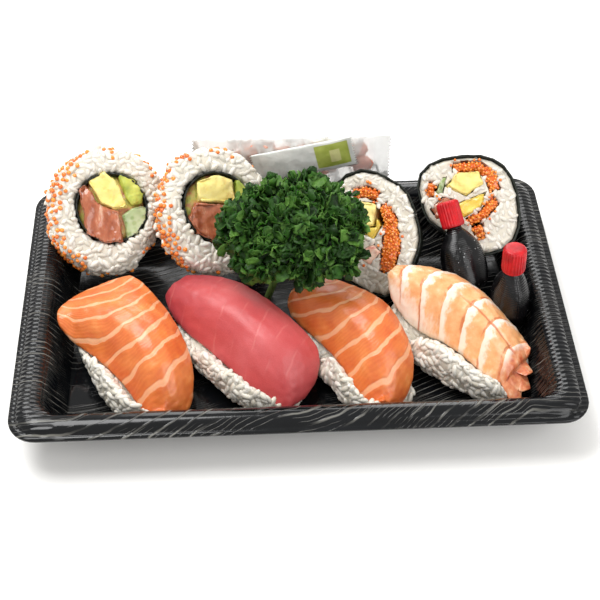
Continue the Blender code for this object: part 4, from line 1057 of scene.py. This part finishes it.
# line is the pale grey painted along the pressed lines as their highlight
trayLooks = {"black": "#07080a", "line": "#8f8d85", "lineStep": 2.9, "lineHalf": 0.11,
             "roughness": 0.13}
traySize = {"length": 218.0, "depth": 138.0, "corner": 11.0}
trayUnder = [(20.2, 0.0), (18.8, 0.9), (16.8, 6.4), (14.9, 11.8), (12.9, 17.4), (11.6, 19.6),
             (9.2, 20.9), (7.1, 21.2), (5.2, 20.6), (3.6, 18.9), (3.1, 17.6), (1.6, 17.9),
             (0.0, 18.2)]
trayOver = [(0.0, 19.0), (1.76, 19.0)]
trayOver += [(7.1 - 4.9 * math.cos(a), 18.6 + 3.4 * math.sin(a))
             for a in (math.radians(d) for d in (6, 22, 40, 65, 90, 115, 140, 158, 172))]
trayOver += [(13.4, 14.8), (14.8, 10.6), (16.2, 6.4), (17.6, 2.4), (18.4, 1.4), (19.4, 1.0),
             (21.0, 0.8)]


def trayRing(inset, height, steps):  # rounded rectangle with many points on its sides
    halfX, halfY = traySize["length"] / 2 - inset, traySize["depth"] / 2 - inset
    radius = max(traySize["corner"] - 0.35 * inset, 3.0)
    points = []
    corners = [(halfX, halfY, 0), (-halfX, halfY, 90), (-halfX, -halfY, 180),
               (halfX, -halfY, 270)]
    for index, (x, y, start) in enumerate(corners):
        middle = Vector((x - math.copysign(radius, x), y - math.copysign(radius, y)))
        for k in range(9):
            a = math.radians(start + k * 90 / 8)
            points.append(middle + Vector((math.cos(a), math.sin(a))) * radius)
        nextX, nextY, nextStart = corners[(index + 1) % 4]
        nextMiddle = Vector((nextX - math.copysign(radius, nextX),
                             nextY - math.copysign(radius, nextY)))
        a = math.radians(nextStart)
        first, last = points[-1], nextMiddle + Vector((math.cos(a), math.sin(a))) * radius
        points += [first.lerp(last, k / steps) for k in range(1, steps)]
    return [Vector((p.x, p.y, height)) * mm for p in points]


def flowAt(place):  # in mm; equal values form the lines pressed into the sheet, whose highlight is painted pale
    x, y, z = place / mm
    inner = math.copysign(min(abs(x), 86.0), x)  # level lines on the left and right rims
    outer = y - math.copysign(min(abs(y), 52.0), y)
    bend = 3.2 * math.sin(inner / 37.0 + 0.6) + 1.5 * math.sin(inner / 13.0)
    return y - 0.34 * inner - 0.55 * outer + 0.3 * z + bend


def trayFinish(values):
    look = Finish("black plastic sheet", values["roughness"], Coat_Weight=0.1,
                  Coat_Roughness=0.05, Specular_IOR_Level=0.32)
    wobble = (look.grainy(38, 3) - 0.5) * 4.5
    phase = (look.attribute("flow") + wobble) / values["lineStep"]
    half = values["lineHalf"]
    near = abs((phase + 200.0).fraction() - 0.5)
    broken = look.grainy(1.0, 2, at=look.stretched((22, 75, 75))).between(0.44, 0.66)
    bands = near.between(half, half * 0.25) * broken
    fine = abs((phase * 2.7 + 300.0).fraction() - 0.5)
    broken = look.grainy(1.3, 2, at=look.stretched((40, 120, 120))).between(0.45, 0.62)
    lines = bands.largest(fine.between(0.09, 0.02) * broken * 0.55)
    specks = look.cells(900).between(0.10, 0.05)
    base = look.grainy(40, 3).ramp(0.3, values["black"], 0.8, "#101215")
    base = (specks * 0.12).blend(base, "#4a4d50")
    # painted highlight: the pressed lines are painted pale grey where their relief catches light;
    # their relief below is real
    look.paint((lines * 0.62).blend(base, values["line"]), lines * 0.2 + values["roughness"])
    x, y, _ = look.axes(look.here)
    rim = abs(x).between(0.090, 0.094)  # metres; the ends of the tray have ribs
    waves = rim * (y * 2900.0 + look.grainy(30, 2) * 9.0).sine()
    return look.done((lines + waves * 0.55) + look.grainy(70, 2) * 1.2, (0.00035, 0.6))


def makeTray(values):
    bm = bmesh.new()
    rings = [trayRing(inset, height, 90) for inset, height in trayUnder + trayOver]
    rows = [[bm.verts.new(p) for p in ring] for ring in rings]
    for low, high in zip(rows, rows[1:]):
        bridge(bm, low, high)
    for row, height in ((rows[0], 0.0), (rows[-1], 0.8)):
        inner = row
        for share in (0.94, 0.85, 0.72, 0.56, 0.38, 0.2):
            ring = [bm.verts.new((v.co.x * share, v.co.y * share, height * mm)) for v in row]
            bridge(bm, inner, ring)
            inner = ring
        middle = bm.verts.new((0, 0, height * mm))
        for i in range(len(row)):
            bm.faces.new((inner[i], inner[(i + 1) % len(row)], middle))
    bmesh.ops.recalc_face_normals(bm, faces=bm.faces[:])
    mesh = fromBmesh(bm, "tray")
    layer = mesh.attributes.new("flow", "FLOAT", "POINT")
    for i, vertex in enumerate(mesh.vertices):
        layer.data[i].value = flowAt(vertex.co)
    newPiece("traySheet", mesh, trayFinish(values), "black_plastic", ["tray"])


makeTray(trayLooks)
print("tray done")


# soy sauce bottles

bottles = {
    "bottle_1": {"foot": (74, 5, 13.9), "up": (-0.246, 0.676, 0.695), "side": (0.94, 0.342, 0)},
    "bottle_2": {"foot": (88, -5.5, 6.8), "up": (-0.023, 0.084, 0.996),
                 "side": (0.241, -0.967, 0.087)},
}
bottleLooks = {"soy": "#120a07", "cap": "#cf1a22", "capDark": "#a3121a", "ribs": 24,
               "ribDepth": 0.17, "flat": 0.78, "flatTop": 20, "wall": 0.9}
bottleProfile = [(4.2, 0.0), (7.6, 2.0), (9.2, 7.5), (9.5, 13.5), (8.4, 19.0), (5.2, 24.0),
                 (3.0, 27.0), (3.0, 31.5)]
capProfile = [(3.1, 27.3), (4.2, 27.35), (4.62, 27.9), (4.62, 30.0), (4.55, 36.6), (4.3, 37.7),
              (3.6, 38.3), (2.0, 38.4)]


def bottleMatrix(info):
    up = Vector(info["up"]).normalized()
    side = Vector(info["side"])
    side = (side - up * side.dot(up)).normalized()
    turn = Matrix((side, up.cross(side), up)).transposed().to_4x4()
    return Matrix.Translation(Vector(info["foot"]) * mm) @ turn


def flatness(height):  # the belly is flat and the neck is round
    flat, above = bottleLooks["flat"], height - bottleLooks["flatTop"]
    return flat if above < 0 else min(1.0, flat + (1 - flat) * above / 6)


def lathe(profile, matrix, sides, shapeOf):
    rings = []
    for radius, height in profile:
        ring = []
        for a in circle(sides):
            wide, deep = shapeOf(radius, height, a)
            ring.append(matrix @ (Vector((math.cos(a) * wide, math.sin(a) * deep, height)) * mm))
        rings.append(ring)
    return fromBmesh(loft(rings), "lathe")


def shellFinish():
    look = Finish("dark filled bottle", 0.16, Coat_Weight=0.1, Coat_Roughness=0.04,
                  Specular_IOR_Level=0.45)
    height = look.axes(look.uvMap("bottleMap"))[1]  # mm above the bottom
    ribs = (height * 8.0).sine()
    scratches = look.grainy(1.0, 4, 0.7, look.stretched((500, 160, 160), (0.5, 0.2, 0.9)))
    dents = look.grainy(170, 2, 0.5)
    # painted highlights: small white glint specks painted into the base colour, also raised a
    # little in the relief
    glints = look.cells(620).between(0.16, 0.08) * look.grainy(90, 2).between(0.5, 0.62)
    base = dents.ramp(0.35, "#060607", 0.6, "#0e0d0f", 0.85, "#221f20")
    base = (scratches.between(0.66, 0.76) * 0.2).blend(base, "#55585f")
    look.paint(glints.blend(base, "#f2f4f6"))
    return look.done(ribs * 0.05 + (dents * 0.8 + glints * 0.3), (0.0009, 0.8))


def makeBottles(values):
    shellMaterial = shellFinish()
    capMaterial = plainFinish("red bottle cap", 0.36, (260, 3),
                              (0.3, values["capDark"], 0.6, values["cap"]), (0.00012, 0.6),
                              (0.08, 0.001, (1.0, 0.1, 0.1)), (900, 2),
                              Specular_IOR_Level=0.35)
    soyMaterial = plainFinish("soy sauce", 0.06, (120, 2),
                              (0.3, values["soy"], 0.8, "#26130b"))
    fine = curveThrough(bottleProfile, 6)

    def shellShape(radius, height, a):
        seam = 0.22 if abs(math.sin(a)) < 0.045 and height < 27 else 0.0
        return radius + seam, radius * flatness(height)

    def soyShape(radius, height, a):
        return radius - values["wall"], (radius - values["wall"]) * flatness(height)

    def capShape(radius, height, a):
        wave = math.cos(values["ribs"] * a)
        rib = values["ribDepth"] * math.copysign(abs(wave) ** 0.6, wave)
        rib = rib if 28.2 < height < 37.9 else 0.0
        return radius + rib, radius + rib

    for name, info in bottles.items():
        matrix = bottleMatrix(info)
        mesh = lathe(fine, matrix, 96, shellShape)
        back = matrix.inverted()
        layer = mesh.uv_layers.new(name="bottleMap")
        for loop in mesh.loops:
            place = back @ mesh.vertices[loop.vertex_index].co / mm
            layer.data[loop.index].uv = (math.atan2(place.y, place.x), place.z)
        newPiece(name + "_skin", mesh, shellMaterial, "clear_plastic", [name + "_shell"])
        soy = lathe([(r, h) for r, h in fine if 2.4 < h < 24], matrix, 32, soyShape)
        newPiece(name + "_fill", soy, soyMaterial, "soy", [name + "_soy"])
        cap = lathe(curveThrough(capProfile, 3), matrix, 192, capShape)
        newPiece(name + "_lid", cap, capMaterial, "red_plastic", [name + "_cap"])


makeBottles(bottleLooks)
print("bottles done")


# sachets

sachets = {  # lengths in mm
    "ginger_sachet": {"middle": (2.5, 67.5, 33.15), "wide": 85, "tall": 27.5, "turn": 0,
                      "seal": 7, "plump": 2.2, "wrinkle": 0.9},
    "wasabi_sachet": {"middle": (7.34, 64, 36.8), "wide": 44, "tall": 16, "turn": -12,
                      "seal": 3, "plump": 1.1, "wrinkle": 0.45},
}
sachetLooks = {"film": "#ececea", "ginger": "#efb09a", "slices": 20, "sliceWide": (9, 14),
               "sliceTall": (8, 12), "sliceHalf": 0.35, "sliceStep": 2.7, "sliceFirst": -20}


def filmFinish(values):
    look = Finish("clear crinkled film", 0.12, Coat_Weight=0.4)
    folds = look.grainy(1.0, 2, 0.5, look.stretched((70, 70, 32), (0, 0.5, 0)))
    sharp = abs(folds - 0.5)
    look.paint(folds.ramp(0.3, "#dcdcda", 0.7, values["film"]),
               alpha=sharp.between(0.0, 0.05, 0.85, 0.4))
    return look.done(0.5 - sharp, (0.0015, 0.7))


def labelFinish():
    look = Finish("printed label film", 0.3, Coat_Weight=0.3)
    u, v, _ = look.axes(look.uvMap("labelMap"))

    def box(left, right, low, high):
        sides = u.between(left, left + 0.01) * u.between(right + 0.01, right)
        return sides * (v.between(low, low + 0.02) * v.between(high + 0.02, high))

    cloud = look.grainy(160, 3)
    white = cloud.ramp(0.3, "#d5d9d3", 0.7, "#f0f1ec")
    field = cloud.ramp(0.3, "#9fae45", 0.7, "#c3cf6a")
    colour = box(0.62, 0.95, 0.14, 0.9).blend(white, field)
    look.paint((box(0.76, 0.86, 0.30, 0.70) * 0.7).blend(colour, "#e9e4a8"))
    return look.done(look.grainy(260, 3), (0.0006, 0.7))


def pillow(info, steps, seed):  # sealed bag: two skins meeting at the edge
    wide, tall, seal = info["wide"] * mm, info["tall"] * mm, info["seal"] * mm
    plump, wrinkle = info["plump"], info["wrinkle"]
    middle = Vector(info["middle"]) * mm
    turn = Matrix.Rotation(math.radians(info["turn"]), 3, "Y")
    columns, rows = steps
    bm = bmesh.new()
    layer = bm.loops.layers.uv.new("labelMap")

    def crease(x, y, z):
        return noise.noise(Vector((x, y, z)) / (4.5 * mm) + Vector((seed, 0, 0)))

    for way in (-1, 1):
        grid = []
        for i in range(columns + 1):
            row = []
            for j in range(rows + 1):
                u, v = i / columns, j / rows
                x, z = (u - 0.5) * wide, (v - 0.5) * tall
                if i in (0, columns) or j in (0, rows):
                    y = wrinkle * mm * 0.35 * crease(x, 0, z)
                else:
                    fromEnd = min(u, 1 - u) * wide
                    swell = min(1.0, max(0.0, (fromEnd - seal) / (5 * mm))) \
                        * math.sin(math.pi * v)
                    y = way * (0.15 * mm + plump * mm * swell ** 0.6) \
                        + wrinkle * mm * crease(x, way * 0.01, z) * (0.35 + 0.65 * swell)
                if i in (0, columns):
                    x += 0.5 * mm * (1 if j % 2 else -1) * (1 if i else -1)
                row.append((bm.verts.new(middle + turn @ Vector((x, y, z))), (u, v)))
            grid.append(row)
        for i in range(columns):
            for j in range(rows):
                four = (grid[i][j], grid[i + 1][j], grid[i + 1][j + 1], grid[i][j + 1])
                face = bm.faces.new([item[0] for item in four])
                for loop, item in zip(face.loops, four):
                    loop[layer].uv = item[1]
    bmesh.ops.remove_doubles(bm, verts=bm.verts[:], dist=0.00002)
    bmesh.ops.recalc_face_normals(bm, faces=bm.faces[:])
    return fromBmesh(bm, "pillow")


def gingerSlices(values, middle):
    random.seed(12)
    bm = bmesh.new()
    for k in range(values["slices"]):
        wide, tall = random.uniform(*values["sliceWide"]), random.uniform(*values["sliceTall"])
        x = values["sliceFirst"] + k * values["sliceStep"] + random.uniform(-1.5, 1.5)
        z = random.uniform(-6.0, 6.5) if k % 2 else random.uniform(3.0, 6.5)
        depth = -0.9 + 0.12 * k % 1.8
        rings = []
        for side in (-values["sliceHalf"], values["sliceHalf"]):
            ring = []
            for a in circle(28):
                ripple = 1 + 0.1 * math.sin(3 * a + k) + 0.05 * math.sin(7 * a)
                px, pz = math.cos(a) * wide / 2 * ripple, math.sin(a) * tall / 2 * ripple
                wave = 0.45 * math.sin(px * 0.9 + k) + 0.3 * math.sin(pz * 1.1 + 2 * k)
                ring.append((Vector((x + px, depth + side + wave, z + pz)) + middle) * mm)
            rings.append(ring)
        bm.from_mesh(fromBmesh(loft(rings), "gingerSlice"))
    return fromBmesh(bm, "ginger")


def makeSachets(values):
    film = filmFinish(values)
    ginger = plainFinish("pickled ginger", 0.3, (1.0, 4, 0.6),
                         (0.28, "#e49478", 0.55, values["ginger"], 0.85, "#f8d6c4"),
                         (0.0004, 0.7), (0.25, 0.002, (1.0, 0.5, 0.35)),
                         stretch=((240, 240, 90),), Coat_Weight=0.3)
    bag = sachets["ginger_sachet"]
    newPiece("gingerBag", pillow(bag, (90, 30), 3.0), film, "clear_film", ["ginger_sachet"])
    newPiece("gingerSlices", gingerSlices(values, Vector(bag["middle"])), ginger, "clear_film")
    newPiece("wasabiBag", pillow(sachets["wasabi_sachet"], (60, 24), 8.0), labelFinish(),
             "label_film", ["wasabi_sachet"])


makeSachets(sachetLooks)
print("sachets done")

for helper in (grain, roeBall, roeSpeck, bpy.data.objects["leaflet"]):
    bpy.data.objects.remove(helper)
